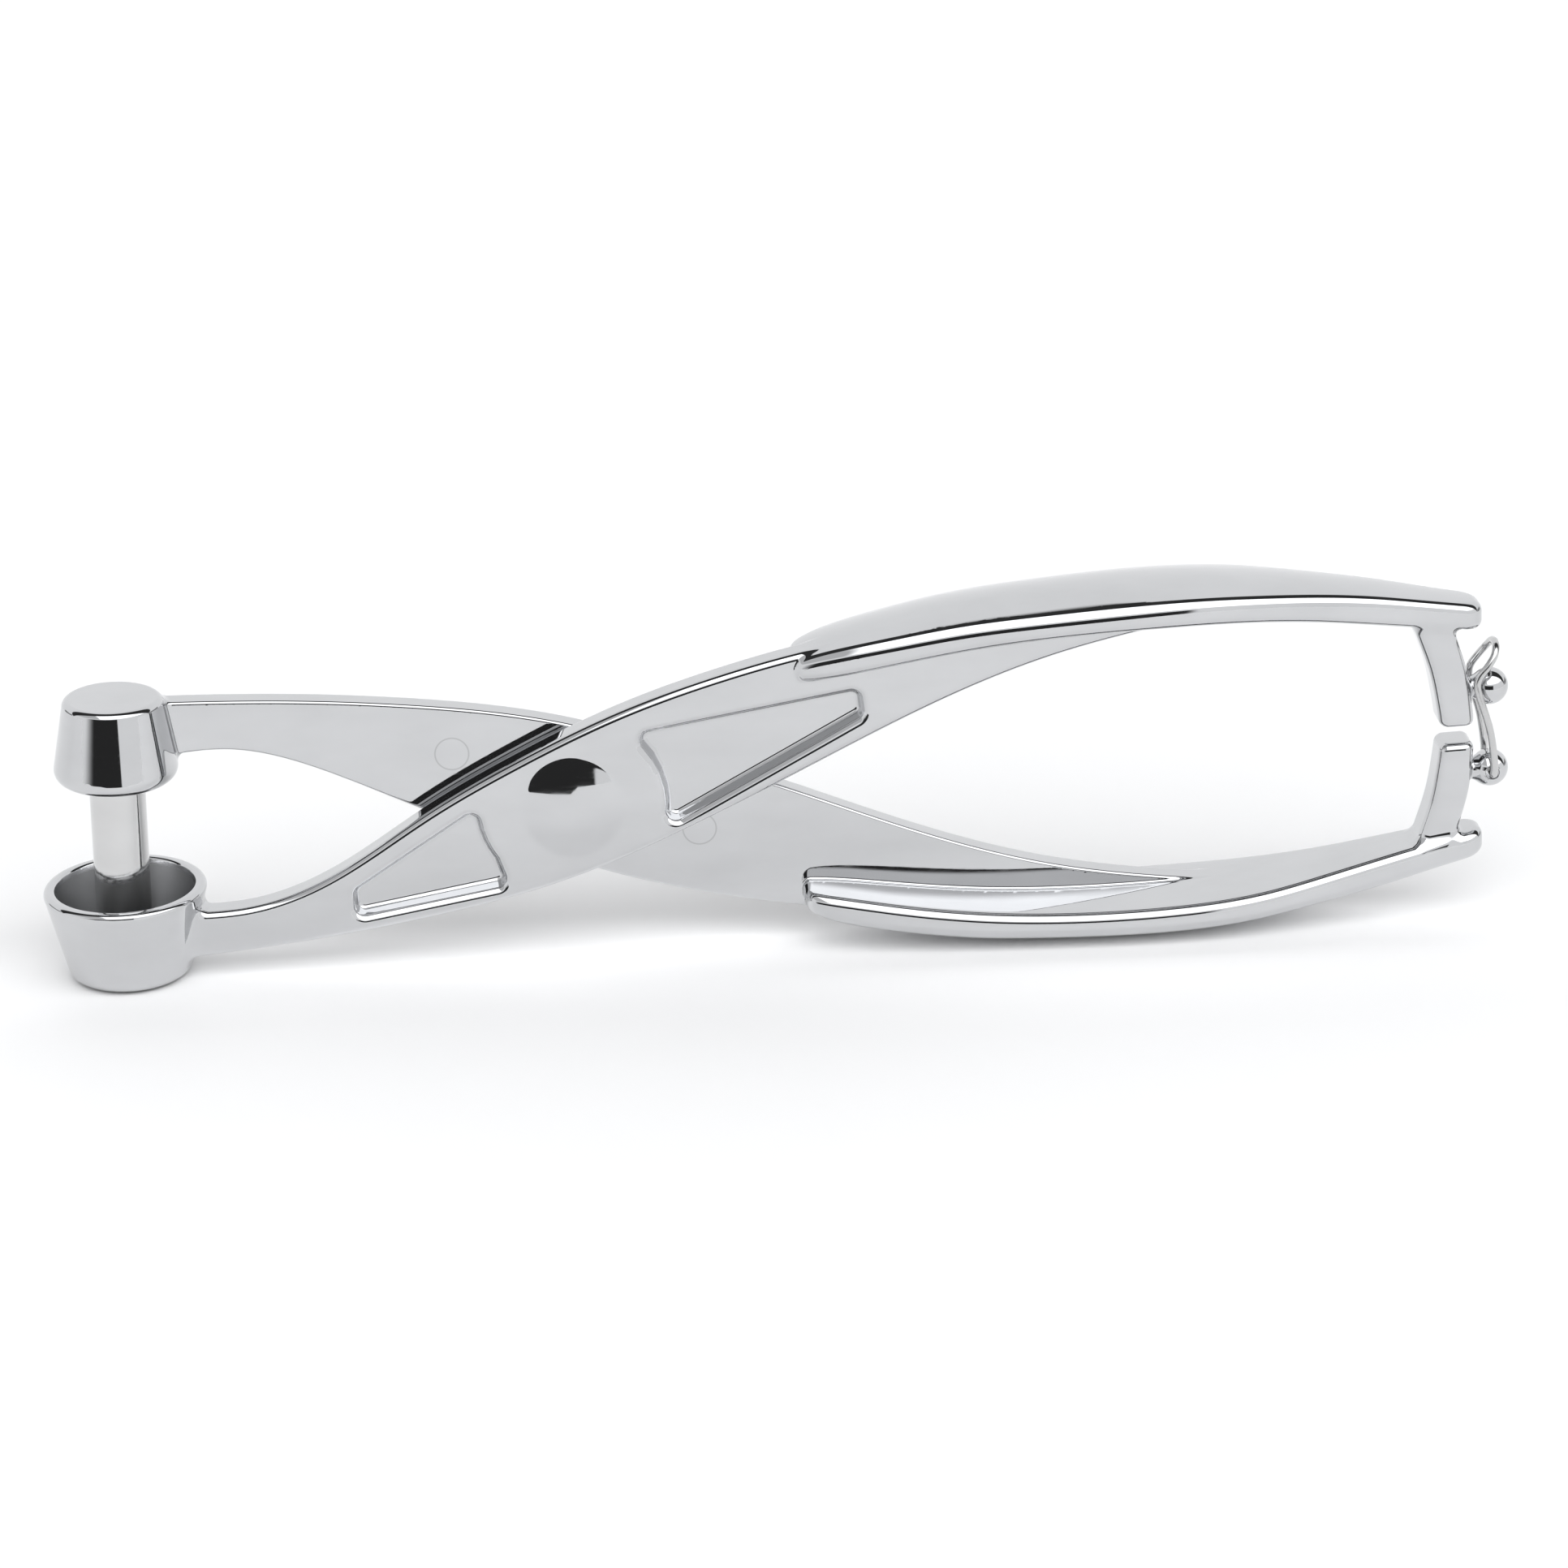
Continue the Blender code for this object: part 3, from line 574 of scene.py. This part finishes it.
def revolved(name, profile, node, body, material, steps=96, place=Matrix.Identity(4)):
    """A shape turned about the Z axis of place; the profile is a closed line of (radius, height)."""
    shape = bmesh.new()
    line = [shape.verts.new((r * MM, 0, h * MM)) for r, h in profile]
    for a, b in zip(line, line[1:] + line[:1]):
        shape.edges.new((a, b))
    bmesh.ops.spin(shape, geom=shape.verts[:] + shape.edges[:], cent=(0, 0, 0), axis=(0, 0, 1),
                   angle=2 * math.pi, steps=steps, use_merge=True)
    bmesh.ops.remove_doubles(shape, verts=shape.verts, dist=1e-7)
    bmesh.ops.recalc_face_normals(shape, faces=shape.faces)
    bmesh.ops.transform(shape, matrix=place, verts=shape.verts)
    mesh = bpy.data.meshes.new(name)
    shape.to_mesh(mesh)
    shape.free()
    mesh.shade_smooth()
    mesh.set_sharp_from_angle(angle=math.radians(50))
    return add_piece(name, mesh, node, body, material)


def rounded(points, steps=5):
    """A profile of (radius, height, rounding) corners, with each corner drawn as a curve."""
    line = []
    for i, (r, h, size) in enumerate(points):
        here = Vector((r, h))
        if not size:
            line.append((r, h))
            continue
        before, after = (Vector(points[n % len(points)][:2]) for n in (i - 1, i + 1))
        into = (before - here).normalized() * size
        out = (after - here).normalized() * size
        for step in range(steps + 1):
            t = step / steps
            line.append(tuple(here + into * (1 - t) ** 2 + out * t ** 2))
    return line


def along_y(front):
    """Frame whose Z axis points from front to back, at the pivot."""
    return Matrix.Translation((0, front * MM, 0)) @ Matrix.Rotation(-math.pi / 2, 4, "X")


def punch_frame():
    """Frame of the punch: on the cup's axis, turned back by the slack."""
    tilt, slack = (Matrix.Rotation(math.radians(a), 4, "Y") for a in (TILT, SLACK))
    return slack @ Matrix.Translation((CUP_AXIS[0] * MM, 0, CUP_AXIS[1] * MM)) @ tilt


def punch():
    """Rod with a dished tip and a worn, slightly rounded rim."""
    top = HEAD_FOOT + PUNCH_SEAT
    dish = [(PUNCH_RADIUS * 0.86 * k / 8, PUNCH_TIP + PUNCH_DISH * (1 - (k / 8) ** 2), 0) for k in range(9)]
    side = [(PUNCH_RADIUS, PUNCH_TIP, 0.25), (PUNCH_RADIUS, top, 0.3), (0, top, 0)]
    revolved("punch", rounded(dish + side), "punch_rod", "punch_lever", punch_steel, 128, punch_frame())


def screw():
    """Shoulder screw with a domed, slotted head behind the rear lever and its thread in the boss."""
    seat = REAR_ARM[1] + 0.5 + 2 * CLEARANCE
    shoulder = REAR_ARM[0] + REAR_WELL
    turns = int((shoulder - THREAD_END) / THREAD_PITCH) - 1
    thread = []
    for n in range(turns):
        foot = THREAD_END + 0.5 + n * THREAD_PITCH
        thread += [(THREAD_RADIUS - 0.25, foot, 0), (THREAD_RADIUS, foot + THREAD_PITCH / 2, 0)]
    dome = [(SCREW_HEAD_RADIUS * math.cos(a), seat + 1.15 + 0.8 * math.sin(a), 0)
            for a in (math.pi / 2 * k / 10 for k in range(1, 10))]
    profile = [(0, THREAD_END, 0), (THREAD_RADIUS - 0.25, THREAD_END, 0.15), *thread,
               (THREAD_RADIUS - 0.1, shoulder, 0), (SHOULDER_RADIUS, shoulder, 0.15),
               (SHOULDER_RADIUS, seat, 0), (SCREW_HEAD_RADIUS, seat, 0.25),
               (SCREW_HEAD_RADIUS, seat + 1.15, 0), *dome, (0, seat + 1.95, 0)]
    obj = revolved("screw", rounded(profile), "pivot_screw", "cup_lever", bright_steel, 96, along_y(0))
    slot = bpy.data.objects.new("slot_cutter", box_mesh((2.6 * SCREW_HEAD_RADIUS, 2.0, 1.1)))
    bpy.context.scene.collection.objects.link(slot)
    slot.matrix_world = TOOL @ Matrix.Translation((0, (seat + 2.0) * MM, 0))
    apply_boolean(obj, slot)


def box_mesh(size):
    """A box in millimetres."""
    shape = bmesh.new()
    bmesh.ops.create_cube(shape, size=MM, matrix=Matrix.Diagonal((*size, 1)))
    mesh = bpy.data.meshes.new("box")
    shape.to_mesh(mesh)
    shape.free()
    return mesh


def apply_boolean(obj, cutter):
    """Cuts one object from another for good, and keeps the new edges sharp."""
    modifier = obj.modifiers.new("slot", "BOOLEAN")
    modifier.operation = "DIFFERENCE"
    modifier.object = cutter
    bpy.context.view_layer.update()
    made = bpy.data.meshes.new_from_object(obj.evaluated_get(bpy.context.evaluated_depsgraph_get()))
    obj.modifiers.clear()
    obj.data = made
    made.set_sharp_from_angle(angle=math.radians(40))
    bpy.data.objects.remove(cutter)


def washer(name, node, body, inner, outer, front, thickness, material):
    """A flat ring on the pivot's axis whose front face is at front."""
    edge = 0.3 * thickness
    profile = [(inner, 0, edge), (outer, 0, edge), (outer, thickness, edge), (inner, thickness, edge)]
    revolved(name, rounded(profile, 3), node, body, material, 96, along_y(front))


def swept(name, points, radius, node, body, material, sides=20):
    """A round wire along points, with no twist and with rounded ends."""
    places = [Vector(p) for p in points]
    sizes = [1.0] * len(places)
    for inset in (0.7, 0.4, 0.1):
        width = math.sqrt(1 - (1 - inset) ** 2)
        first = (places[0] - places[1]).normalized() * 0.15 * radius
        last = (places[-1] - places[-2]).normalized() * 0.15 * radius
        places = [places[0] + first, *places, places[-1] + last]
        sizes = [width, *sizes, width]
    shape = bmesh.new()
    across = (places[1] - places[0]).orthogonal()
    rings = []
    for i, (place, size) in enumerate(zip(places, sizes)):
        ahead = (places[min(i + 1, len(places) - 1)] - places[max(i - 1, 0)]).normalized()
        across = (across - ahead * across.dot(ahead)).normalized()
        other = ahead.cross(across)
        ring = []
        for n in range(sides):
            angle = 2 * math.pi * n / sides
            spoke = across * math.cos(angle) + other * math.sin(angle)
            ring.append(shape.verts.new((place + spoke * radius * size) * MM))
        rings.append(ring)
    for near, far in zip(rings, rings[1:]):
        for n in range(sides):
            m = (n + 1) % sides
            shape.faces.new((near[n], near[m], far[m], far[n]))
    shape.faces.new(rings[0][::-1])
    shape.faces.new(rings[-1])
    mesh = bpy.data.meshes.new(name)
    shape.to_mesh(mesh)
    shape.free()
    mesh.shade_smooth()
    return add_piece(name, mesh, node, body, material)


def through(points, per_span):
    """Points on a Catmull-Rom curve through the given ones."""
    ends = [[2 * a - b for a, b in zip(points[i], points[j])] for i, j in ((0, 1), (-1, -2))]
    knots = [Vector(p) for p in (ends[0], *points, ends[1])]
    line = []
    for a, b, c, d in zip(knots, knots[1:], knots[2:], knots[3:]):
        for step in range(per_span):
            t = step / per_span
            line.append(0.5 * (2 * b + (c - a) * t + (2 * a - 5 * b + 4 * c - d) * t ** 2
                               + (3 * b - a - 3 * c + d) * t ** 3))
    return [*line, knots[-2]]


def keeper():
    """Bent wire loop with both ends in the lower knob's hole."""
    strand = through(STRAND, 8)
    x, z, half = STRAND[0]
    bend = 0.6
    corner = [(x, -half + bend * (1 - math.sin(a)), z + bend * (1 - math.cos(a)))
              for a in (math.pi / 2 * k / 5 for k in range(6))]
    start = [(x, -END_INSET, z), *corner]
    front = [(px, -gap, pz) for px, pz, gap in strand if pz > z + bend + 0.2]
    rear = [(px, -py, pz) for px, py, pz in reversed(start + front[:-1])]
    swept("keeper", start + front + rear, WIRE_RADIUS, "keeper_loop", "keeper", wire_steel)


def coil_spring():
    """Torsion spring in the wells, with each end bent straight into its lever."""
    low, high = SPRING_SPAN
    last = 2 * math.pi * SPRING_TURNS
    count = int(SPRING_TURNS * 48)
    start, end = SPRING_BEND / SPRING_MEAN_RADIUS, last - SPRING_BEND / SPRING_MEAN_RADIUS
    coil = []
    for k in range(count + 1):
        angle = start + (end - start) * k / count
        x, z = spring_anchor(angle)
        coil.append((x, low + (high - low) * k / count, z))
    front_leg = spring_leg(0, low, FRONT_ARM[1] - FRONT_WELL - 0.7, 1)
    rear_leg = spring_leg(last, high, REAR_ARM[1] - 0.5, -1)
    line = front_leg + coil[1:-1] + rear_leg[::-1]
    swept("spring", line, SPRING_WIRE_RADIUS, "opening_spring", "cup_lever", wire_steel)


def spring_leg(angle, level, tip, way):
    """Straight leg along Y from its tip, then a quarter bend into the coil; way is the coil's sense."""
    x, z = spring_anchor(angle)
    outward = math.copysign(SPRING_BEND, tip - level)
    leg = [(x, tip, z)]
    for k in range(9):
        turn = math.pi / 2 * k / 8
        bx, bz = spring_anchor(angle + way * SPRING_BEND * (1 - math.cos(turn)) / SPRING_MEAN_RADIUS)
        leg.append((bx, level + outward * (1 - math.sin(turn)), bz))
    return leg


# Materials

def node(tree, kind, **values):
    """A shader node with some of its inputs and settings given."""
    made = tree.nodes.new(kind)
    for key, value in values.items():
        if key in made.inputs:
            made.inputs[key].default_value = value
        else:
            setattr(made, key.lower(), value)
    return made


def noise(tree, place, scale, detail, stretch=(1, 1, 1)):
    """Noise in object space, as a socket; scale is in waves a metre, stretch divides it along each axis."""
    mapping = tree.nodes.new("ShaderNodeMapping")
    mapping.inputs["Scale"].default_value = [scale / s for s in stretch]
    tree.links.new(place, mapping.inputs["Vector"])
    made = node(tree, "ShaderNodeTexNoise", Scale=1.0, Detail=detail, Roughness=0.55)
    tree.links.new(mapping.outputs["Vector"], made.inputs["Vector"])
    return made.outputs["Fac"]


def spread(tree, value, low, high, to_low, to_high):
    """A value's range mapped evenly onto another one."""
    made = tree.nodes.new("ShaderNodeMapRange")
    tree.links.new(value, made.inputs["Value"])
    for name, number in (("From Min", low), ("From Max", high), ("To Min", to_low), ("To Max", to_high)):
        made.inputs[name].default_value = number
    return made.outputs["Result"]


def colour_between(tree, share, first, second):
    """Mix of two colours, as a socket."""
    made = tree.nodes.new("ShaderNodeMix")
    made.data_type = "RGBA"
    sockets = [i for i in made.inputs if i.type == "RGBA"]
    for socket, colour in zip(sockets, (first, second)):
        socket.default_value = (*colour, 1)
    tree.links.new(share, made.inputs["Factor"])
    return next(o for o in made.outputs if o.type == "RGBA")


def bump(tree, height, distance, before=None):
    """Bump from a height socket; distance is the metres that a height of 1 stands for."""
    made = tree.nodes.new("ShaderNodeBump")
    made.inputs["Strength"].default_value = 1.0
    made.inputs["Distance"].default_value = distance
    tree.links.new(height, made.inputs["Height"])
    if before:
        tree.links.new(before, made.inputs["Normal"])
    return made.outputs["Normal"]


def metal(name, colour, gloss, wave, grain):
    """Bright metal with a cloudy tone, uneven gloss, a wavy surface and fine grain.

    gloss is the lowest and highest roughness; wave and grain are heights in metres.
    """
    material = bpy.data.materials.new(name)
    material.use_nodes = True
    tree = material.node_tree
    shader = tree.nodes["Principled BSDF"]
    shader.inputs["Metallic"].default_value = 1.0
    place = tree.nodes.new("ShaderNodeTexCoord").outputs["Object"]
    cloud = noise(tree, place, 120, 4, (1.6, 1, 0.6))
    rubbed = noise(tree, place, 2200, 3, (8, 1, 1))
    tone = colour_between(tree, spread(tree, cloud, 0.3, 0.7, 0, 1), colour, [c * 0.94 for c in colour])
    tree.links.new(tone, shader.inputs["Base Color"])
    uneven = calculate(tree, "MULTIPLY", spread(tree, cloud, 0.35, 0.7, 0.4, 1),
                       spread(tree, rubbed, 0.4, 0.65, 0, 1))
    tree.links.new(spread(tree, uneven, 0, 1, *gloss), shader.inputs["Roughness"])
    normal = bump(tree, noise(tree, place, 170, 1, (1, 1, 2)), wave)
    tree.links.new(bump(tree, rubbed, grain, normal), shader.inputs["Normal"])
    return material


def darken(material, share, tone, roughness=None):
    """Where share is 1, multiplies the colour by tone and, if given, sets the roughness."""
    tree = material.node_tree
    shader = tree.nodes["Principled BSDF"]
    mixed = tree.nodes.new("ShaderNodeMix")
    mixed.data_type = "RGBA"
    mixed.blend_type = "MULTIPLY"
    first, second = (i for i in mixed.inputs if i.type == "RGBA")
    tree.links.new(shader.inputs["Base Color"].links[0].from_socket, first)
    second.default_value = (tone, tone, tone, 1)
    tree.links.new(share, mixed.inputs["Factor"])
    tree.links.new(next(o for o in mixed.outputs if o.type == "RGBA"), shader.inputs["Base Color"])
    if roughness:
        before = shader.inputs["Roughness"].links[0].from_socket
        tree.links.new(blend(tree, share, before, roughness), shader.inputs["Roughness"])


def distance_from(tree, centre, kept):
    """Distance in object space from a line through centre; kept is 1 along the axes that count."""
    place = tree.nodes.new("ShaderNodeTexCoord").outputs["Object"]
    offset = tree.nodes.new("ShaderNodeVectorMath")
    offset.operation = "SUBTRACT"
    tree.links.new(place, offset.inputs[0])
    offset.inputs[1].default_value = centre
    flat = tree.nodes.new("ShaderNodeVectorMath")
    flat.operation = "MULTIPLY"
    tree.links.new(offset.outputs[0], flat.inputs[0])
    flat.inputs[1].default_value = kept
    length = tree.nodes.new("ShaderNodeVectorMath")
    length.operation = "LENGTH"
    tree.links.new(flat.outputs[0], length.inputs[0])
    return length.outputs["Value"]


def ejector_marks(material):
    """Faint rings that the die's ejector pins leave in the rear lever's face."""
    tree = material.node_tree
    for x, z in EJECTOR_MARKS:
        reach = distance_from(tree, TOOL @ (Vector((x, 0, z)) * MM), (1, 0, 1))
        off = calculate(tree, "ABSOLUTE", calculate(tree, "SUBTRACT", reach, MARK_RADIUS * MM))
        darken(material, ease(tree, off, MARK_FADE[0] * MM, MARK_FADE[1] * MM), MARK_TONE)


def rough_cup_with_painted_shade(material):
    """The inside of the cup: rougher where polishing doesn't reach, and its colour darkened below the rim as
    painted shade in the bowl.
    """
    tree = material.node_tree
    base = TOOL @ (Vector((CUP_AXIS[0], 0, CUP_AXIS[1])) * MM)
    reach = distance_from(tree, base, (1, 1, 0))
    split = tree.nodes.new("ShaderNodeSeparateXYZ")
    tree.links.new(tree.nodes.new("ShaderNodeTexCoord").outputs["Object"], split.inputs[0])
    height = split.outputs["Z"]
    slope = (CUP_RIM_RADIUS - CUP_BASE_RADIUS) / CUP_HEIGHT
    rise = calculate(tree, "MULTIPLY", height, slope)
    wall = calculate(tree, "ADD", rise, (CUP_BASE_RADIUS - CUP_WALL) * MM)
    inside = ease(tree, calculate(tree, "SUBTRACT", reach, wall), 0.3 * MM, 0.1 * MM)
    below = ease(tree, height, (CUP_HEIGHT - 0.4) * MM, (CUP_HEIGHT - 1.0) * MM)
    # painted shade: the bowl's colour is darkened to 0.72 below the rim; the raised roughness is the
    # unpolished finish
    darken(material, calculate(tree, "MULTIPLY", inside, below), 0.72, 0.3)


def plastic(name, colour):
    """Natural nylon: milky, a little see-through and matte."""
    material = bpy.data.materials.new(name)
    material.use_nodes = True
    tree = material.node_tree
    shader = tree.nodes["Principled BSDF"]
    place = tree.nodes.new("ShaderNodeTexCoord").outputs["Object"]
    cloud = noise(tree, place, 400, 3)
    tone = colour_between(tree, cloud, colour, [c * 0.93 for c in colour])
    tree.links.new(tone, shader.inputs["Base Color"])
    tree.links.new(spread(tree, cloud, 0, 1, 0.38, 0.55), shader.inputs["Roughness"])
    shader.inputs["Subsurface Weight"].default_value = 0.2
    shader.inputs["Subsurface Scale"].default_value = 0.001
    tree.links.new(bump(tree, noise(tree, place, 3000, 2), 0.00002), shader.inputs["Normal"])
    return material


def floor_material():
    """Plain pale grey."""
    material = bpy.data.materials.new("pale_floor")
    material.use_nodes = True
    tree = material.node_tree
    shader = tree.nodes["Principled BSDF"]
    shader.inputs["Roughness"].default_value = 0.6
    shader.inputs["Base Color"].default_value = FLOOR_COLOUR
    return material


def make_floor():
    """Floor that everything but the metal sees, and a table on it that only the metal mirrors."""
    pale = floor_material()
    reach = FLOOR_REACH
    square = [(-reach, -reach), (reach, -reach), (reach, reach), (-reach, reach)]
    for name, outline, height in (("table", TABLE, 0), ("floor", square, -FLOOR_DROP)):
        mesh = bpy.data.meshes.new(name)
        mesh.from_pydata([(x, y, height) for x, y in outline], [], [list(range(len(outline)))])
        mesh.materials.append(pale)
        piece = bpy.data.objects.new(name, mesh)
        bpy.context.scene.collection.objects.link(piece)
        mirrored = name == "table"
        piece.visible_glossy = mirrored
        piece.visible_camera = not mirrored
        piece.visible_diffuse = not mirrored
        piece.visible_shadow = not mirrored


def calculate(tree, operation, *values):
    """A math node on sockets or numbers; gives its output."""
    made = tree.nodes.new("ShaderNodeMath")
    made.operation = operation
    for socket, value in zip(made.inputs, values):
        if isinstance(value, bpy.types.NodeSocket):
            tree.links.new(value, socket)
        else:
            socket.default_value = value
    return made.outputs[0]


def blend(tree, share, first, second):
    """first where share is 0, second where it is 1."""
    rest = calculate(tree, "MULTIPLY", calculate(tree, "SUBTRACT", 1, share), first)
    return calculate(tree, "ADD", rest, calculate(tree, "MULTIPLY", share, second))


def ease(tree, value, start, end):
    """0 before start, 1 after end, smooth between."""
    made = tree.nodes.new("ShaderNodeMapRange")
    made.interpolation_type = "SMOOTHSTEP"
    tree.links.new(value, made.inputs["Value"])
    made.inputs["From Min"].default_value = start
    made.inputs["From Max"].default_value = end
    return made.outputs["Result"]


def make_world():
    """Soft studio: bright high up in front, paler behind, with a dark patch overhead and some low ones.

    Cameras see plain pale surroundings. Matte things are lit by the studio at DIFFUSE_GAIN times the
    brightness that the metal mirrors.
    """
    world = bpy.data.worlds.new("studio")
    bpy.context.scene.world = world
    world.use_nodes = True
    tree = world.node_tree
    place = tree.nodes.new("ShaderNodeTexCoord")
    split = tree.nodes.new("ShaderNodeSeparateXYZ")
    tree.links.new(place.outputs["Generated"], split.inputs[0])
    east, north, up = split.outputs
    south = calculate(tree, "MULTIPLY", north, -1)
    degrees = 180 / math.pi
    height = calculate(tree, "MULTIPLY", calculate(tree, "ARCSINE", up), degrees)
    bearing = calculate(tree, "MULTIPLY", calculate(tree, "ARCTAN2", east, south), degrees)
    wall = blend(tree, ease(tree, east, *WALL_END), WEST_WALL, FRONT_WALL)
    front = blend(tree, ease(tree, height, *WALL_FOOT), LOW_WALL, wall)
    level = blend(tree, ease(tree, south, -FRONT_TO_BACK, FRONT_TO_BACK), BACK_WALL, front)
    over = calculate(tree, "MULTIPLY", calculate(tree, "ARCTAN2", up, south), degrees)
    starts, ends = (ease(tree, over, at - OVERHEAD_SOFT, at + OVERHEAD_SOFT) for at in OVERHEAD_GAP)
    gap = calculate(tree, "SUBTRACT", starts, ends)
    level = blend(tree, gap, level, OVERHEAD_LEVEL)
    for low, high, top, soft, darkness in LOW_GAPS:
        inside = calculate(tree, "SUBTRACT", ease(tree, bearing, low - soft, low + soft),
                           ease(tree, bearing, high - 1, high + 1))
        under = calculate(tree, "SUBTRACT", 1, ease(tree, height, top - 1, top + 1))
        gap = calculate(tree, "MULTIPLY", calculate(tree, "MULTIPLY", inside, under), darkness)
        level = calculate(tree, "MULTIPLY", level, calculate(tree, "SUBTRACT", 1, gap))
    path = tree.nodes.new("ShaderNodeLightPath")
    lighting = calculate(tree, "MULTIPLY", level, DIFFUSE_GAIN)
    level = blend(tree, path.outputs["Is Diffuse Ray"], level, lighting)
    level = blend(tree, path.outputs["Is Camera Ray"], level, SURROUNDINGS)
    background = tree.nodes["Background"]
    background.inputs["Color"].default_value = (0.985, 0.99, 1.0, 1)
    tree.links.new(level, background.inputs["Strength"])


def make_camera():
    """Camera that stands and looks as its constants say."""
    data = bpy.data.cameras.new("camera")
    camera = bpy.data.objects.new("camera", data)
    bpy.context.scene.collection.objects.link(camera)
    a, e = math.radians(CAMERA_AZIMUTH), math.radians(CAMERA_ELEVATION)
    back = Vector((math.sin(a) * math.cos(e), -math.cos(a) * math.cos(e), math.sin(e)))
    camera.location = Vector(CAMERA_AIM) + back * CAMERA_DISTANCE
    look = (-back).to_track_quat("-Z", "Y").to_matrix().to_4x4()
    camera.rotation_euler = (look @ Matrix.Rotation(-math.radians(CAMERA_ROLL), 4, "Z")).to_euler()
    data.lens = CAMERA_LENS
    data.sensor_width = 36
    data.clip_start = 0.01
    bpy.context.scene.camera = camera


CHROME = ((0.62, 0.625, 0.635), (0.025, 0.09), 0.000004, 0.0000004)
chrome = metal("chrome", *CHROME)
rough_cup_with_painted_shade(chrome)
marked_chrome = metal("marked_chrome", *CHROME)
ejector_marks(marked_chrome)
punch_steel = metal("punch_steel", (0.66, 0.66, 0.66), (0.06, 0.14), 0.000002, 0.000001)
bright_steel = metal("bright_steel", (0.60, 0.60, 0.60), (0.15, 0.3), 0.000002, 0.000001)
wire_steel = metal("wire_steel", (0.60, 0.60, 0.60), (0.12, 0.25), 0.000002, 0.000001)
nylon = plastic("nylon", (0.82, 0.80, 0.74))

casting("cup_lever_casting", front_casting, "front_arm", "cup_lever", chrome)
casting("punch_lever_casting", rear_casting, "rear_arm", "punch_lever", marked_chrome)
punch()
screw()
inner, outer, thickness = THRUST_WASHER
washer("low_friction_washer", "thrust_washer", "cup_lever", inner, outer,
       (FRONT_ARM[1] + REAR_ARM[0] - thickness) / 2, thickness, nylon)
inner, outer, thickness = SPRING_WASHER
washer("curved_washer", "spring_washer", "cup_lever", inner, outer, REAR_ARM[1] + CLEARANCE, thickness,
       bright_steel)
coil_spring()
keeper()
make_floor()
make_world()
make_camera()
bpy.context.scene.view_settings.view_transform = "Standard"
